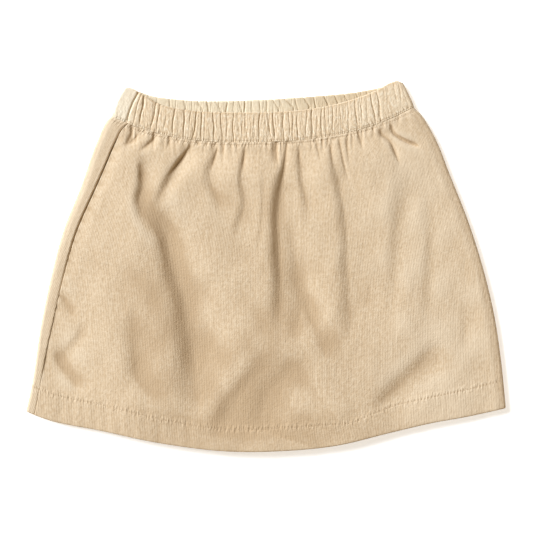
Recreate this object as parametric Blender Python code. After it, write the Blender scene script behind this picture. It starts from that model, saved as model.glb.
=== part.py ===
"""Gathered pull-on skort in fine-wale corduroy, laid flat on a table with its front up.

X runs across the garment, Y up towards the waist and Z up from the table. The origin is
on the table under the middle of the outline. Sizes below are in millimetres.

The skirt and its waistband are each a tube pressed flat: a row of cloth runs over the
top, round the right fold, back along the table and round the left fold. Every point of
such a tube has a share across the width (0 at the left fold, 1 at the right one), a drop
(0 at the upper edge, 1 at the lower edge) and a lift (1 on top, -1 on the table).
"""

import math

import bpy
import numpy as np

MM = 0.001

# Cloth
CLOTH = 1.2            # skirt wall, pile and backing
HEM_PLY = 1.0          # second ply behind the skirt's hem
HEM_DEPTH = 19.0
BAND_WALL = 3.0        # outer ply, elastic and inner ply of the waistband
JERSEY = 1.0           # wall of the inner shorts
SEAM_GAP = 0.3
REST_GAP = 0.3         # between layers that lie on each other
FRONT_GAP = 0.8        # from the inner shorts up to the front, at the skirt's sides
BAND_HOLLOW = 0.6      # between the front and the back of the waistband

# Flattened tubes: reach of the side folds, and height of the wall's middle below and above
SHORTS_FOLD = {
    "reach": 0.7,
    "low": CLOTH + REST_GAP + JERSEY / 2,
    "high": CLOTH + REST_GAP + JERSEY + REST_GAP + JERSEY / 2,
}
SKIRT_FOLD = {
    "reach": 2.6,
    "low": CLOTH / 2,
    "high": SHORTS_FOLD["high"] + JERSEY / 2 + FRONT_GAP + CLOTH / 2,
}
BAND_FOLD = {
    "reach": 2.0,
    "low": BAND_WALL / 2,
    "high": BAND_WALL + BAND_HOLLOW + BAND_WALL / 2,
}

# The side seams lie this far in from the folds: on top at the left, below at the right
LEFT_SEAM_INSET = [(0.0, 12.5), (0.25, 9.5), (0.5, 9.0), (0.7, 8.0), (0.86, 6.0), (1.0, 6.5)]
BAND_SEAM_INSET = 11.0
RIGHT_SEAM_INSET = 9.0

# Outlines, as (x, y) points from left to right, or from the top down
BAND_TOP_FRONT = [(-103.5, 133.5), (-92, 127.6), (-78, 120.2), (-57, 116), (-23.6, 114.4), (15, 115.2),
                  (40, 118), (64.4, 124), (84, 131.6), (101.5, 138)]
BAND_TOP_BACK = [(-103.5, 133.5), (-86, 127), (-66, 124.4), (-10, 124), (30, 126.4), (72, 130.6),
                 (88, 134), (101.5, 138)]
BAND_LEFT = [(-103.5, 133.5), (-109.5, 125), (-112.6, 118), (-114.2, 112.4)]
BAND_RIGHT = [(101.5, 138), (105.2, 130), (108.8, 121.4), (109.6, 119)]
SKIRT_LEFT = [(-114.4, 112), (-118.5, 108), (-124.5, 96), (-138, 59), (-151.5, 25), (-160.5, -9),
              (-168.5, -48), (-174.5, -88), (-179, -108.6)]
SKIRT_RIGHT = [(109.8, 118.6), (114.5, 114), (124, 99.5), (137.6, 67), (151.5, 31.5), (162.75, -4.5),
               (171, -40.5), (175.8, -74), (179, -106)]
SKIRT_HEM = [(-179, -108.6), (-166, -113.6), (-121.5, -123), (-73.5, -132.7), (-25.5, -138), (12, -137.6),
             (46.5, -134.6), (94.5, -123.75), (124, -116.9), (152, -111.9), (179, -106)]
SHORTS_LEFT = [(-115, 60), (-124, -20), (-130, -86)]
SHORTS_RIGHT = [(114, 60), (124, -20), (130, -84)]
SHORTS_HEM = [(-130, -86), (-65, -92), (65, -92), (130, -84)]

SIDE_LENGTH = 231.0                            # from the waist seam down a side to the hem
WAIST_SAG = {"front": 22.3, "back": 12.5}      # of the waist seam below its two ends
BACK_HEM_RISE = 3.0                            # the back's hem lies this far inside the front's
CROTCH_DROP = 0.74                             # where the inner shorts part into two legs
SHORTS_WAIST = (0.03, 0.97)                    # the share of the waist seam that the shorts take up
LEG_SPREAD = 5.0                               # from the middle to each leg's inner edge, at its hem

# The front rises over the inner shorts, and its folds stay within these heights
CROWN = {"height": 2.2, "half_width": 120.0, "top": 96.0, "top_slope": 36.0, "bottom": -92.0,
         "bottom_slope": 60.0}
RIDGE_LIMIT = 0.7
VALLEY_LIMIT = {"over_shorts": -0.3, "beside_shorts": -2.2, "at_hem": -0.8}
SHORTS_REACH = {"half_width": 136.0, "bottom": -98.0}

# Gathers of the waistband: share of its length from the left seam, how many, how deep
BAND_GATHERS = [
    {"start": 0.00, "end": 0.02, "count": 1, "depth": 0.3},
    {"start": 0.02, "end": 0.22, "count": 8, "depth": 1.2},
    {"start": 0.22, "end": 0.49, "count": 12, "depth": 1.1},
    {"start": 0.49, "end": 0.80, "count": 15, "depth": 0.9},
    {"start": 0.80, "end": 0.96, "count": 7, "depth": 0.7},
    {"start": 0.96, "end": 1.00, "count": 1, "depth": 0.3},
]
GATHER_UNEVEN = 0.32
BACK_GATHER = 0.8      # depth of the creases inside the back of the band
BAND_ROWS = [          # drop of each row, and the share of the wall's thickness that it keeps
    {"drop": 0.00, "fullness": 0.55},
    {"drop": 0.12, "fullness": 1.00},
    {"drop": 0.88, "fullness": 1.00},
    {"drop": 1.00, "fullness": 0.80},
]

# Soft folds of the front: start, a point that the curve is drawn towards, end, half width
# and depth. A negative depth is a ridge.
FOLDS = [
    {"path": [(-56, 88), (-66, 70), (-86, 53)], "width": 5.0, "depth": 2.0},      # left, upper arm
    {"path": [(-94, 78), (-98, 62), (-93, 44)], "width": 4.5, "depth": 1.4},      # left, side arm
    {"path": [(-91, 54), (-66, -10), (-58, -98)], "width": 12.0, "depth": 2.2},   # left, long valley
    {"path": [(14, 90), (1, 30), (8, -52)], "width": 7.5, "depth": 2.0},          # middle, long valley
    {"path": [(9, 10), (20, -14), (26, -42)], "width": 8.0, "depth": 0.9},        # middle, branch
    {"path": [(36, -36), (46, -60), (53, -80)], "width": 8.0, "depth": 0.8},
    {"path": [(47, 86), (55, 20), (62, -54)], "width": 8.0, "depth": 1.6},        # right of the middle
    {"path": [(-38, 86), (-47, 62), (-32, 38)], "width": 5.0, "depth": 1.1},
    {"path": [(-18, 84), (-19, 56), (-24, 26)], "width": 5.0, "depth": 1.1},
    {"path": [(23, 86), (27, 62), (29, 36)], "width": 5.0, "depth": 1.0},
    {"path": [(104, 62), (94, 10), (88, -44)], "width": 9.0, "depth": 0.7},
    {"path": [(123, 80), (122, 10), (108, -50)], "width": 8.0, "depth": 0.7},
    {"path": [(135, -56), (110, -76), (76, -112)], "width": 7.0, "depth": 2.0},   # lower right
    {"path": [(20, -76), (-4, -88), (-38, -110)], "width": 8.0, "depth": 1.1},    # lower middle
    {"path": [(-102, -42), (-104, -72), (-92, -98)], "width": 7.5, "depth": 1.5}, # lower left
    {"path": [(-160, -68), (-150, -82), (-141, -94)], "width": 5.0, "depth": 0.9},
    {"path": [(92, 104), (93, 97), (116, 91)], "width": 3.5, "depth": 1.3},       # upper right
    {"path": [(87, 102), (93, 88), (101, 76)], "width": 3.5, "depth": 1.0},
    {"path": [(142, -20), (145, -42), (144, -64)], "width": 6.0, "depth": 0.7},
    {"path": [(-60, 72), (-66, 44), (-54, 10)], "width": 8.0, "depth": -0.6},
    {"path": [(-118, 66), (-124, 20), (-132, -30)], "width": 8.0, "depth": -0.5},
    {"path": [(12, 20), (36, -24), (64, -80)], "width": 6.0, "depth": -0.6},
    {"path": [(96, 60), (80, 0), (72, -70)], "width": 7.0, "depth": -0.6},
    {"path": [(-22, 10), (-20, -30), (-26, -70)], "width": 18.0, "depth": -0.5},
]

# Short puckers where the skirt is gathered into the waistband: share across, length, depth
PUCKERS = [
    {"at": 0.055, "length": 18, "depth": 0.5}, {"at": 0.125, "length": 26, "depth": 0.8},
    {"at": 0.205, "length": 20, "depth": 0.7}, {"at": 0.262, "length": 14, "depth": 0.6},
    {"at": 0.296, "length": 22, "depth": 0.7}, {"at": 0.345, "length": 18, "depth": 0.8},
    {"at": 0.388, "length": 15, "depth": 0.6}, {"at": 0.428, "length": 22, "depth": 0.8},
    {"at": 0.465, "length": 16, "depth": 0.7}, {"at": 0.502, "length": 20, "depth": 0.8},
    {"at": 0.546, "length": 18, "depth": 0.7}, {"at": 0.588, "length": 22, "depth": 0.8},
    {"at": 0.632, "length": 18, "depth": 0.7}, {"at": 0.668, "length": 14, "depth": 0.6},
    {"at": 0.704, "length": 24, "depth": 0.8}, {"at": 0.742, "length": 16, "depth": 0.6},
    {"at": 0.784, "length": 14, "depth": 0.5}, {"at": 0.826, "length": 18, "depth": 0.5},
    {"at": 0.868, "length": 14, "depth": 0.6}, {"at": 0.912, "length": 18, "depth": 0.6},
]
PUCKER_WIDTH = 2.2

SHORTS_ROWS = [0.0, 0.06, 0.16, 0.3, 0.46, 0.62, CROTCH_DROP, 0.8, 0.88, 0.94, 1.0]

# Fineness of the grids
SKIRT_ROWS = 14
SKIRT_STEPS = 92
TABLE_STEPS = 18
SHORTS_STEPS = 9
FOLD_STEPS = 6
STRIP_STEPS = 2
POINTS_PER_GATHER = 4
PATH_STEPS = 16


def smooth_curve(points):
    """A curve through the points, as a function of the share of its length."""
    points = np.array(points, dtype=float)
    chords = np.linalg.norm(np.diff(points, axis=0), axis=1)
    stations = np.concatenate([[0.0], np.cumsum(chords)]) / chords.sum()
    slopes = np.gradient(points, stations, axis=0)

    def at(share):
        share = np.asarray(share, dtype=float)
        low = np.clip(np.searchsorted(stations, share, side="right") - 1, 0, len(stations) - 2)
        span = stations[low + 1] - stations[low]
        k = ((share - stations[low]) / span)[..., None]
        span = span[..., None]
        return (
            (2 * k**3 - 3 * k**2 + 1) * points[low]
            + (k**3 - 2 * k**2 + k) * span * slopes[low]
            + (3 * k**2 - 2 * k**3) * points[low + 1]
            + (k**3 - k**2) * span * slopes[low + 1]
        )

    return at


def sagging_curve(left, right, sag, count=13):
    """The waist seam: a line between two points that sags, flat in the middle."""
    across = np.linspace(-1, 1, count)[:, None]
    middle = (np.array(left) + np.array(right)) / 2
    half = (np.array(right) - np.array(left)) / 2
    drop = np.array([0.0, sag]) * (1 - np.abs(across) ** 2.6)
    return smooth_curve(middle + half * across - drop)


def ease(value, low, high):
    """Rises smoothly from 0 at low to 1 at high, or falls if high is below low."""
    k = np.clip((value - low) / (high - low), 0, 1)
    return k * k * (3 - 2 * k)


class Patch:
    """A stretch of cloth seen from above, spanned between its four edges."""

    def __init__(self, top, bottom, left, right):
        self.top = top
        self.bottom = bottom
        self.left = left
        self.right = right

    def at(self, share, drop):
        share, drop = np.broadcast_arrays(share, drop)
        s = share[..., None]
        d = drop[..., None]
        corner = {
            "top_left": self.top(0.0),
            "top_right": self.top(1.0),
            "bottom_left": self.bottom(0.0),
            "bottom_right": self.bottom(1.0),
        }
        between_ends = (1 - d) * self.top(share) + d * self.bottom(share)
        between_sides = (1 - s) * self.left(drop) + s * self.right(drop)
        corners = (
            (1 - s) * (1 - d) * corner["top_left"]
            + s * (1 - d) * corner["top_right"]
            + (1 - s) * d * corner["bottom_left"]
            + s * d * corner["bottom_right"]
        )
        return between_ends + between_sides - corners

    def width(self, drop):
        return np.linalg.norm(self.right(drop) - self.left(drop), axis=-1)


def upper_path(width, fold, start, steps, turns):
    """Columns from a start on top to the right fold and round it: share across and lift."""
    reach = fold["reach"] / width
    top = start + (1 - reach - start) * np.linspace(0, 1, steps)
    angle = np.linspace(math.pi / 2, -math.pi / 2, turns + 1)[1:]
    round_share = 1 - reach + reach * np.cos(angle)
    share = np.concatenate([top, round_share], axis=1)
    lift = np.concatenate([np.ones_like(top), np.broadcast_to(np.sin(angle), round_share.shape)], axis=1)
    return share, lift


def along_table(share, lift, last, steps):
    """More columns on the table, on from the last one to the given share."""
    more = share[:, -1:] + (last - share[:, -1:]) * np.linspace(0, 1, steps + 1)[1:]
    return np.concatenate([share, more], axis=1), np.concatenate([lift, -np.ones_like(more)], axis=1)


def front_columns(width, fold, left_inset, right_inset, steps, turns, under_steps):
    """The front: from the left seam over the top, round the right fold, to the right seam."""
    start = (left_inset + SEAM_GAP / 2) / width
    share, lift = upper_path(width, fold, start, steps, turns)
    return along_table(share, lift, 1 - (right_inset - SEAM_GAP / 2) / width, under_steps)


def back_columns(width, fold, left_inset, right_inset, steps, turns, over_steps):
    """The back: from the right seam along the table, round the left fold, to the left seam."""
    start = 1 - (right_inset + SEAM_GAP / 2) / width
    reach = fold["reach"] / width
    table = start + (reach - start) * np.linspace(0, 1, steps)
    angle = np.linspace(-math.pi / 2, math.pi / 2, turns + 1)[1:]
    round_share = reach - reach * np.cos(angle)
    last = (left_inset - SEAM_GAP / 2) / width
    over = reach + (last - reach) * np.linspace(0, 1, over_steps + 1)[1:]
    share = np.concatenate([table, round_share, over], axis=1)
    lift = np.concatenate(
        [-np.ones_like(table), np.broadcast_to(np.sin(angle), round_share.shape), np.ones_like(over)],
        axis=1,
    )
    return share, lift


def tube_surface(front, back, fold, share, drop, lift):
    """The middle of a flattened tube's wall, in millimetres."""
    under = ((1 - lift) / 2)[..., None]
    plan = (1 - under) * front.at(share, drop) + under * back.at(share, drop)
    middle = (fold["high"] + fold["low"]) / 2
    height = middle + (fold["high"] - fold["low"]) / 2 * lift
    return np.concatenate([plan, height[..., None]], axis=-1)


def outward(surface):
    """Unit normals of a grid of points, pointing out of the tube."""
    down = np.gradient(surface, axis=0)
    along = np.gradient(surface, axis=1)
    normal = np.cross(down, along)
    return normal / np.linalg.norm(normal, axis=-1, keepdims=True)


def fold_height(x, y, folds):
    """The sum of the folds: each one is a soft trough round its curve that fades at its ends."""
    height = np.zeros_like(x)
    along = np.linspace(0, 1, PATH_STEPS)
    for fold in folds:
        start, pull, end = (np.array(point, dtype=float) for point in fold["path"])
        k = along[:, None]
        path = (1 - k) ** 2 * start + 2 * k * (1 - k) * pull + k**2 * end
        away = np.hypot(x[..., None] - path[:, 0], y[..., None] - path[:, 1])
        nearest = along[np.argmin(away, axis=-1)]
        fade = 1 - np.abs(2 * nearest - 1) ** 3
        height -= fold["depth"] * fade * np.exp(-((away.min(axis=-1) / fold["width"]) ** 2))
    return height


def pucker_height(share, fall, width):
    """Short troughs that run down from the waist seam and die out at their length."""
    height = np.zeros_like(share)
    for pucker in PUCKERS:
        across = (share - pucker["at"]) * width / PUCKER_WIDTH
        height -= pucker["depth"] * np.exp(-(across**2)) * (1 - ease(fall, 0, pucker["length"]))
    return height


def crown_height(x, y):
    """The front rises over the inner shorts."""
    across = np.clip(1 - (x / CROWN["half_width"]) ** 4, 0, 1)
    upper = ease(y, CROWN["top"], CROWN["top"] - CROWN["top_slope"])
    lower = ease(y, CROWN["bottom"], CROWN["bottom"] + CROWN["bottom_slope"])
    return CROWN["height"] * across * upper * lower


def lowest_height(x, y, drop):
    """How far the front may sink: to the inner shorts, or beside them to the back."""
    over = (np.abs(x) < SHORTS_REACH["half_width"]) & (y > SHORTS_REACH["bottom"])
    at_hem = drop > 1 - 1.3 * HEM_DEPTH / SIDE_LENGTH
    beside = np.where(at_hem, VALLEY_LIMIT["at_hem"], VALLEY_LIMIT["beside_shorts"])
    return np.where(over, VALLEY_LIMIT["over_shorts"], beside)


def gather_profile(share):
    """Rounded puffs with a sharp crease between them, as a height over the band's wall."""
    height = np.zeros_like(share)
    for number, stretch in enumerate(BAND_GATHERS):
        k = (share - stretch["start"]) / (stretch["end"] - stretch["start"])
        inside = (k >= 0) & (k < 1)
        wander = GATHER_UNEVEN * np.sin(2 * math.pi * k + number) * np.sin(math.pi * k) / math.pi
        puff = np.abs(np.sin(math.pi * (k + wander) * stretch["count"])) ** 0.7
        height = np.where(inside, stretch["depth"] * puff, height)
    return height


def build_wall(name, outer, inner, material):
    """A closed solid between two grids of points that share their layout."""
    rows, columns = outer.shape[:2]
    vertices = np.concatenate([outer.reshape(-1, 3), inner.reshape(-1, 3)]) * MM
    number = np.arange(rows * columns).reshape(rows, columns)
    under = number + rows * columns
    faces = []
    for first, second in ((number, 0), (under, 1)):
        ring = (first[:-1, :-1], first[1:, :-1], first[1:, 1:], first[:-1, 1:])
        ring = ring[::-1] if second else ring
        faces.append(np.stack([corner.ravel() for corner in ring], axis=1))
    for edge, back in ((0, False), (-1, True)):
        for outside, inside, turned in ((number[edge], under[edge], back),
                                        (number[:, edge], under[:, edge], not back)):
            ring = (outside[:-1], outside[1:], inside[1:], inside[:-1])
            ring = ring[::-1] if turned else ring
            faces.append(np.stack(ring, axis=1))
    mesh = bpy.data.meshes.new(name)
    mesh.from_pydata(vertices.tolist(), [], np.concatenate(faces).tolist())
    mesh.shade_smooth()
    mesh.set_sharp_from_angle(angle=math.radians(50))
    mesh.materials.append(material)
    solid = bpy.data.objects.new(name, mesh)
    bpy.context.scene.collection.objects.link(solid)
    return solid


def fabric(name, colour, roughness, sheen):
    """A plain cloth material."""
    material = bpy.data.materials.new(name)
    material.use_nodes = True
    shader = material.node_tree.nodes["Principled BSDF"]
    shader.inputs["Base Color"].default_value = (*colour, 1)
    shader.inputs["Roughness"].default_value = roughness
    shader.inputs["Metallic"].default_value = 0
    shader.inputs["Sheen Weight"].default_value = sheen
    return material


def inset_at(drop, table):
    """Reads a seam's inset from its short table."""
    drops, insets = zip(*table)
    return np.interp(drop, drops, insets)


def shorts_patch(waist):
    """The plan of the inner shorts, hung from the middle stretch of a waist seam."""
    start, end = SHORTS_WAIST

    def top(share):
        return waist(start + (end - start) * np.asarray(share))

    left = smooth_curve([tuple(top(0.0)), *SHORTS_LEFT])
    right = smooth_curve([tuple(top(1.0)), *SHORTS_RIGHT])
    return Patch(top, smooth_curve(SHORTS_HEM), left, right)


def make_patches():
    """The plan of each layer, with the gap at the waist seam already left open."""
    waist = {
        side: sagging_curve(SKIRT_LEFT[0], SKIRT_RIGHT[0], sag)
        for side, sag in WAIST_SAG.items()
    }
    lift_seam = np.array([0.0, SEAM_GAP])
    band_foot = {
        side: sagging_curve(
            np.array(BAND_LEFT[-1]) + lift_seam, np.array(BAND_RIGHT[-1]) + lift_seam, sag
        )
        for side, sag in WAIST_SAG.items()
    }
    band_left = smooth_curve([*BAND_LEFT[:-1], tuple(np.array(BAND_LEFT[-1]) + lift_seam)])
    band_right = smooth_curve([*BAND_RIGHT[:-1], tuple(np.array(BAND_RIGHT[-1]) + lift_seam)])
    skirt_left = smooth_curve(SKIRT_LEFT)
    skirt_right = smooth_curve(SKIRT_RIGHT)
    hem = np.array(SKIRT_HEM, dtype=float)
    across = np.linspace(-1, 1, len(hem))
    back_hem = hem + np.stack([np.zeros(len(hem)), BACK_HEM_RISE * (1 - across**4)], axis=1)
    shorts = {side: shorts_patch(waist[side]) for side in WAIST_SAG}
    return {
        "skirt_front": Patch(waist["front"], smooth_curve(SKIRT_HEM), skirt_left, skirt_right),
        "skirt_back": Patch(waist["back"], smooth_curve(back_hem), skirt_left, skirt_right),
        "band_front": Patch(smooth_curve(BAND_TOP_FRONT), band_foot["front"], band_left, band_right),
        "band_back": Patch(smooth_curve(BAND_TOP_BACK), band_foot["back"], band_left, band_right),
        "shorts_front": shorts["front"],
        "shorts_back": shorts["back"],
    }


def skirt_rows():
    """Drops that are close together at the waist, with a pair of rows at the hem's inner edge."""
    hem_line = 1 - HEM_DEPTH / SIDE_LENGTH
    upper = hem_line * np.linspace(0, 1, SKIRT_ROWS) ** 1.3
    hem_edge = hem_line + 1.0 / SIDE_LENGTH
    return np.concatenate([upper, [hem_edge, (1 + hem_line) / 2, 1.0]])[:, None]


def hem_ply(drop, shape):
    """The hem's second ply, only on the inner side."""
    ply = HEM_PLY * (drop > 1 - (HEM_DEPTH - 0.5) / SIDE_LENGTH)
    return np.broadcast_to(ply, shape)[..., None]


def build_skirt_front(patches, material):
    front = patches["skirt_front"]
    back = patches["skirt_back"]
    drop = skirt_rows()
    width = front.width(drop[:, 0])[:, None]
    left = inset_at(drop, LEFT_SEAM_INSET)
    share, lift = front_columns(
        width, SKIRT_FOLD, left, RIGHT_SEAM_INSET, SKIRT_STEPS, FOLD_STEPS, STRIP_STEPS
    )
    surface = tube_surface(front, back, SKIRT_FOLD, share, drop, lift)
    normal = outward(surface)
    x = surface[..., 0]
    y = surface[..., 1]
    fall = drop * SIDE_LENGTH
    relief = crown_height(x, y) + fold_height(x, y, FOLDS) + pucker_height(share, fall, width)
    on_top = np.clip(lift, 0, 1) * ease(width * (1 - share), 2, 16)
    relief = relief * on_top * ease(fall, -6, 12)
    relief = np.clip(relief, lowest_height(x, y, drop), CROWN["height"] + RIDGE_LIMIT)
    shift = np.stack([np.zeros_like(relief), np.zeros_like(relief), relief], axis=-1)
    outer = surface + normal * CLOTH / 2 + shift
    inner = surface - normal * (CLOTH / 2 + hem_ply(drop, share.shape)) + shift
    return build_wall("skirt_front", outer, inner, material)


def build_skirt_back(patches, material):
    front = patches["skirt_front"]
    back = patches["skirt_back"]
    drop = skirt_rows()
    width = front.width(drop[:, 0])[:, None]
    left = inset_at(drop, LEFT_SEAM_INSET)
    share, lift = back_columns(
        width, SKIRT_FOLD, left, RIGHT_SEAM_INSET, TABLE_STEPS, FOLD_STEPS, STRIP_STEPS
    )
    surface = tube_surface(front, back, SKIRT_FOLD, share, drop, lift)
    normal = outward(surface)
    outer = surface + normal * CLOTH / 2
    inner = surface - normal * (CLOTH / 2 + hem_ply(drop, share.shape))
    return build_wall("skirt_back", outer, inner, material)


def band_rows():
    """Drops of the band's rows, and how much of the wall's thickness each keeps."""
    drop = np.array([row["drop"] for row in BAND_ROWS])[:, None]
    fullness = np.array([row["fullness"] for row in BAND_ROWS])[:, None]
    return drop, fullness


def band_steps():
    """Columns of one side of the band: the same number of points for each gather."""
    return POINTS_PER_GATHER * sum(stretch["count"] for stretch in BAND_GATHERS) + 1


def build_waistband_front(patches, material):
    front = patches["band_front"]
    back = patches["band_back"]
    drop, fullness = band_rows()
    width = front.width(drop[:, 0])[:, None]
    steps = band_steps()
    share, lift = front_columns(
        width, BAND_FOLD, BAND_SEAM_INSET, RIGHT_SEAM_INSET, steps, FOLD_STEPS, STRIP_STEPS
    )
    surface = tube_surface(front, back, BAND_FOLD, share, drop, lift)
    normal = outward(surface)
    puffs = np.zeros_like(share)
    puffs[:, :steps] = gather_profile(np.linspace(0, 1, steps))
    half_wall = BAND_WALL / 2 * fullness
    outer = surface + normal * (half_wall + puffs * fullness)[..., None]
    inner = surface - normal * (half_wall + np.zeros_like(share))[..., None]
    return build_wall("waistband_front", outer, inner, material)


def build_waistband_back(patches, material):
    front = patches["band_front"]
    back = patches["band_back"]
    drop, fullness = band_rows()
    width = front.width(drop[:, 0])[:, None]
    steps = band_steps()
    share, lift = back_columns(
        width, BAND_FOLD, BAND_SEAM_INSET, RIGHT_SEAM_INSET, steps, FOLD_STEPS, STRIP_STEPS
    )
    surface = tube_surface(front, back, BAND_FOLD, share, drop, lift)
    normal = outward(surface)
    creases = np.zeros_like(share)
    creases[:, :steps] = BACK_GATHER * np.clip(1 - gather_profile(np.linspace(1, 0, steps)), 0, 1)
    outer = surface + normal * (BAND_WALL / 2)
    inner = surface - normal * (BAND_WALL / 2 * fullness - creases)[..., None]
    return build_wall("waistband_back", outer, inner, material)


def build_shorts_leg(name, patches, material, left_leg):
    """One leg: its front, the fold at its side and its back, open at the middle seam."""
    front = patches["shorts_front"]
    back = patches["shorts_back"]
    drop = np.array(SHORTS_ROWS)[:, None]
    width = front.width(drop[:, 0])[:, None]
    middle_gap = SEAM_GAP / 2 + LEG_SPREAD * ease(drop, CROTCH_DROP, 1.0)
    start = 0.5 + middle_gap / width
    share, lift = upper_path(width, SHORTS_FOLD, start, SHORTS_STEPS, FOLD_STEPS)
    share, lift = along_table(share, lift, start, SHORTS_STEPS - 1)
    if left_leg:
        share = 1 - share[:, ::-1]
        lift = lift[:, ::-1]
    surface = tube_surface(front, back, SHORTS_FOLD, share, drop, lift)
    normal = outward(surface)
    return build_wall(name, surface + normal * JERSEY / 2, surface - normal * JERSEY / 2, material)


def main():
    for thing in list(bpy.data.objects):
        bpy.data.objects.remove(thing, do_unlink=True)
    patches = make_patches()
    corduroy = fabric("corduroy", (0.70, 0.54, 0.36), 0.9, 0.3)
    corduroy_inside = fabric("corduroy_inside", (0.76, 0.62, 0.44), 0.95, 0.1)
    jersey = fabric("jersey", (0.72, 0.57, 0.40), 0.9, 0.1)
    build_skirt_front(patches, corduroy)
    build_skirt_back(patches, corduroy)
    build_waistband_front(patches, corduroy)
    build_waistband_back(patches, corduroy_inside)
    build_shorts_leg("shorts_left", patches, jersey, left_leg=True)
    build_shorts_leg("shorts_right", patches, jersey, left_leg=False)


main()
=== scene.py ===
import math

import bpy
import numpy as np
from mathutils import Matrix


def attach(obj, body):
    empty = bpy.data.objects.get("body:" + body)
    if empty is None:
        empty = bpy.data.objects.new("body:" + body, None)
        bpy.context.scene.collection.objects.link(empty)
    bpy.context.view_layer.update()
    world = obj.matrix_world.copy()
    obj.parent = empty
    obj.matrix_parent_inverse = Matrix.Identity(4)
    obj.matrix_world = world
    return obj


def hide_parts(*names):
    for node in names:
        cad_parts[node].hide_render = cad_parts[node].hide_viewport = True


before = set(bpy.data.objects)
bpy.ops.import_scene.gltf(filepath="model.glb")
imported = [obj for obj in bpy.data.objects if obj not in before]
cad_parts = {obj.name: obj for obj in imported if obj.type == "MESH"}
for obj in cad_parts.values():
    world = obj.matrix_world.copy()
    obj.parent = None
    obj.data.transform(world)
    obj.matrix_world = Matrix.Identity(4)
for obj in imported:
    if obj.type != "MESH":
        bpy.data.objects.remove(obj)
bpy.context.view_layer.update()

# A child's pull-on skort in fine-wale corduroy, laid flat on a table with its front up.
# X runs across it, Y up towards the waist and Z up from the table. Lengths are in millimetres.
# Each layer is a tube pressed flat. A point of it has a share across (0 at the left fold, 1 at
# the right one), a drop (0 at the upper edge, 1 at the lower one) and a lift (1 above, -1 below).
mm = 0.001

studio = {
    "pixelSize": 0.75,          # of the table, seen in one of the picture's 533 pixels
    "pixels": 533,
    "cameraHeight": 1500.0,
    "aim": (0.4, -0.4),
    "keyPlace": (-9350.0, 6380.0, 7150.0),
    "keySize": 6600.0,
    "keyPower": 3480.0,
    "keyColour": (0.91, 1.0, 1.13),
    "fillPlace": (1500.0, -900.0, 2600.0),
    "fillSize": 2200.0,
    "fillPower": 7.0,
    "fillColour": (1.0, 0.88, 0.76),
    "skyStrength": 0.32,
    "skyColour": (1.0, 0.81, 0.53),
    "floorSize": 6000.0,
    "floorColour": (0.93, 0.93, 0.93),
    "floorGlow": 0.5,           # of a light table
}

garment = {
    "corduroy": 1.1,            # wall of the skirt, pile and backing
    "bandPly": 0.9,             # each ply of the waistband's casing
    "jersey": 0.9,
    "sideLength": 231.0,        # from the waist seam down to the hem
    "seamGap": 0.3,
    "leftSeamInset": [(0.0, 12.5), (0.14, 12.2), (0.25, 10.2), (0.5, 9.0), (0.7, 8.0), (0.86, 6.0),
                      (1.0, 6.5)],
    "rightSeamInset": 9.0,      # on the underside
    "bandSeamInset": 11.0,
    "waistSag": {"front": 22.3, "back": 12.5},
    "backHemRise": 3.0,
}

# Side folds: how far they reach in, and the height of the wall's middle below and above
foldSize = {
    "shorts": {"reach": 0.7, "low": 2.0, "high": 3.05},
    "skirt": {"reach": 1.6, "low": 0.6, "high": 5.2},
    "band": {"reach": 1.5, "low": 1.5, "high": 5.1},
}

# Outlines seen from above, as (x, y) from left to right or from the top down
outline = {
    "bandTopFront": [(-105.2, 131.9), (-103.8, 133.2), (-101.6, 133.0), (-92, 127.8), (-78, 120.2),
                     (-57, 116), (-23.6, 114.4), (15, 115.2), (40, 118), (64.4, 124), (84, 131.6),
                     (94, 136.9), (98.6, 138), (101.6, 136.4)],
    "bandTopBack": [(-105.2, 131.9), (-103.8, 133.2), (-101.6, 132.6), (-86, 127.2), (-66, 124.4),
                    (-10, 124), (30, 126.4), (72, 130.6), (88, 134), (94, 136.4), (98.6, 137.9),
                    (101.6, 136.4)],
    "bandLeft": [(-105.2, 131.9), (-109.5, 125), (-112.6, 118), (-114.2, 112.4)],
    "bandRight": [(101.6, 136.4), (105.0, 129.6), (108.8, 121.4), (109.6, 119)],
    "skirtLeft": [(-114.4, 112), (-118.5, 108), (-124.5, 96), (-138, 59), (-151.5, 25), (-160.5, -9),
                  (-168.5, -48), (-174.5, -88), (-179, -108.6)],
    "skirtRight": [(109.8, 118.6), (114.5, 114), (124, 99.5), (137.6, 67), (151.5, 31.5), (162.75, -4.5),
                   (171, -40.5), (175.8, -74), (179, -106)],
    "hem": [(-179, -108.6), (-166, -113.6), (-121.5, -123), (-73.5, -132.7), (-25.5, -138), (12, -137.6),
            (46.5, -134.6), (94.5, -123.75), (124, -116.9), (152, -111.9), (179, -106)],
    "shortsLeft": [(-115, 60), (-124, -20), (-130, -86)],
    "shortsRight": [(114, 60), (124, -20), (130, -84)],
    "shortsHem": [(-130, -86), (-65, -92), (65, -92), (130, -84)],
}


def table(names, rows):
    # a short table: the name of each column, and its numbers as one array
    return dict(zip(names.split(), np.array(rows, dtype=float).T))


def ease(value, low, high):
    # 3k^2 - 2k^3 of the clipped share k of the way from low to high
    k = np.clip((value - low) / (high - low), 0, 1)
    return k * k * (3 - 2 * k)


def bell(distance, width):
    # exp(-(distance / width)^2)
    return np.exp(-((distance / width) ** 2))


def unit(vectors):
    # each of them divided by its own length
    return vectors / np.linalg.norm(vectors, axis=-1, keepdims=True)


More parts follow.
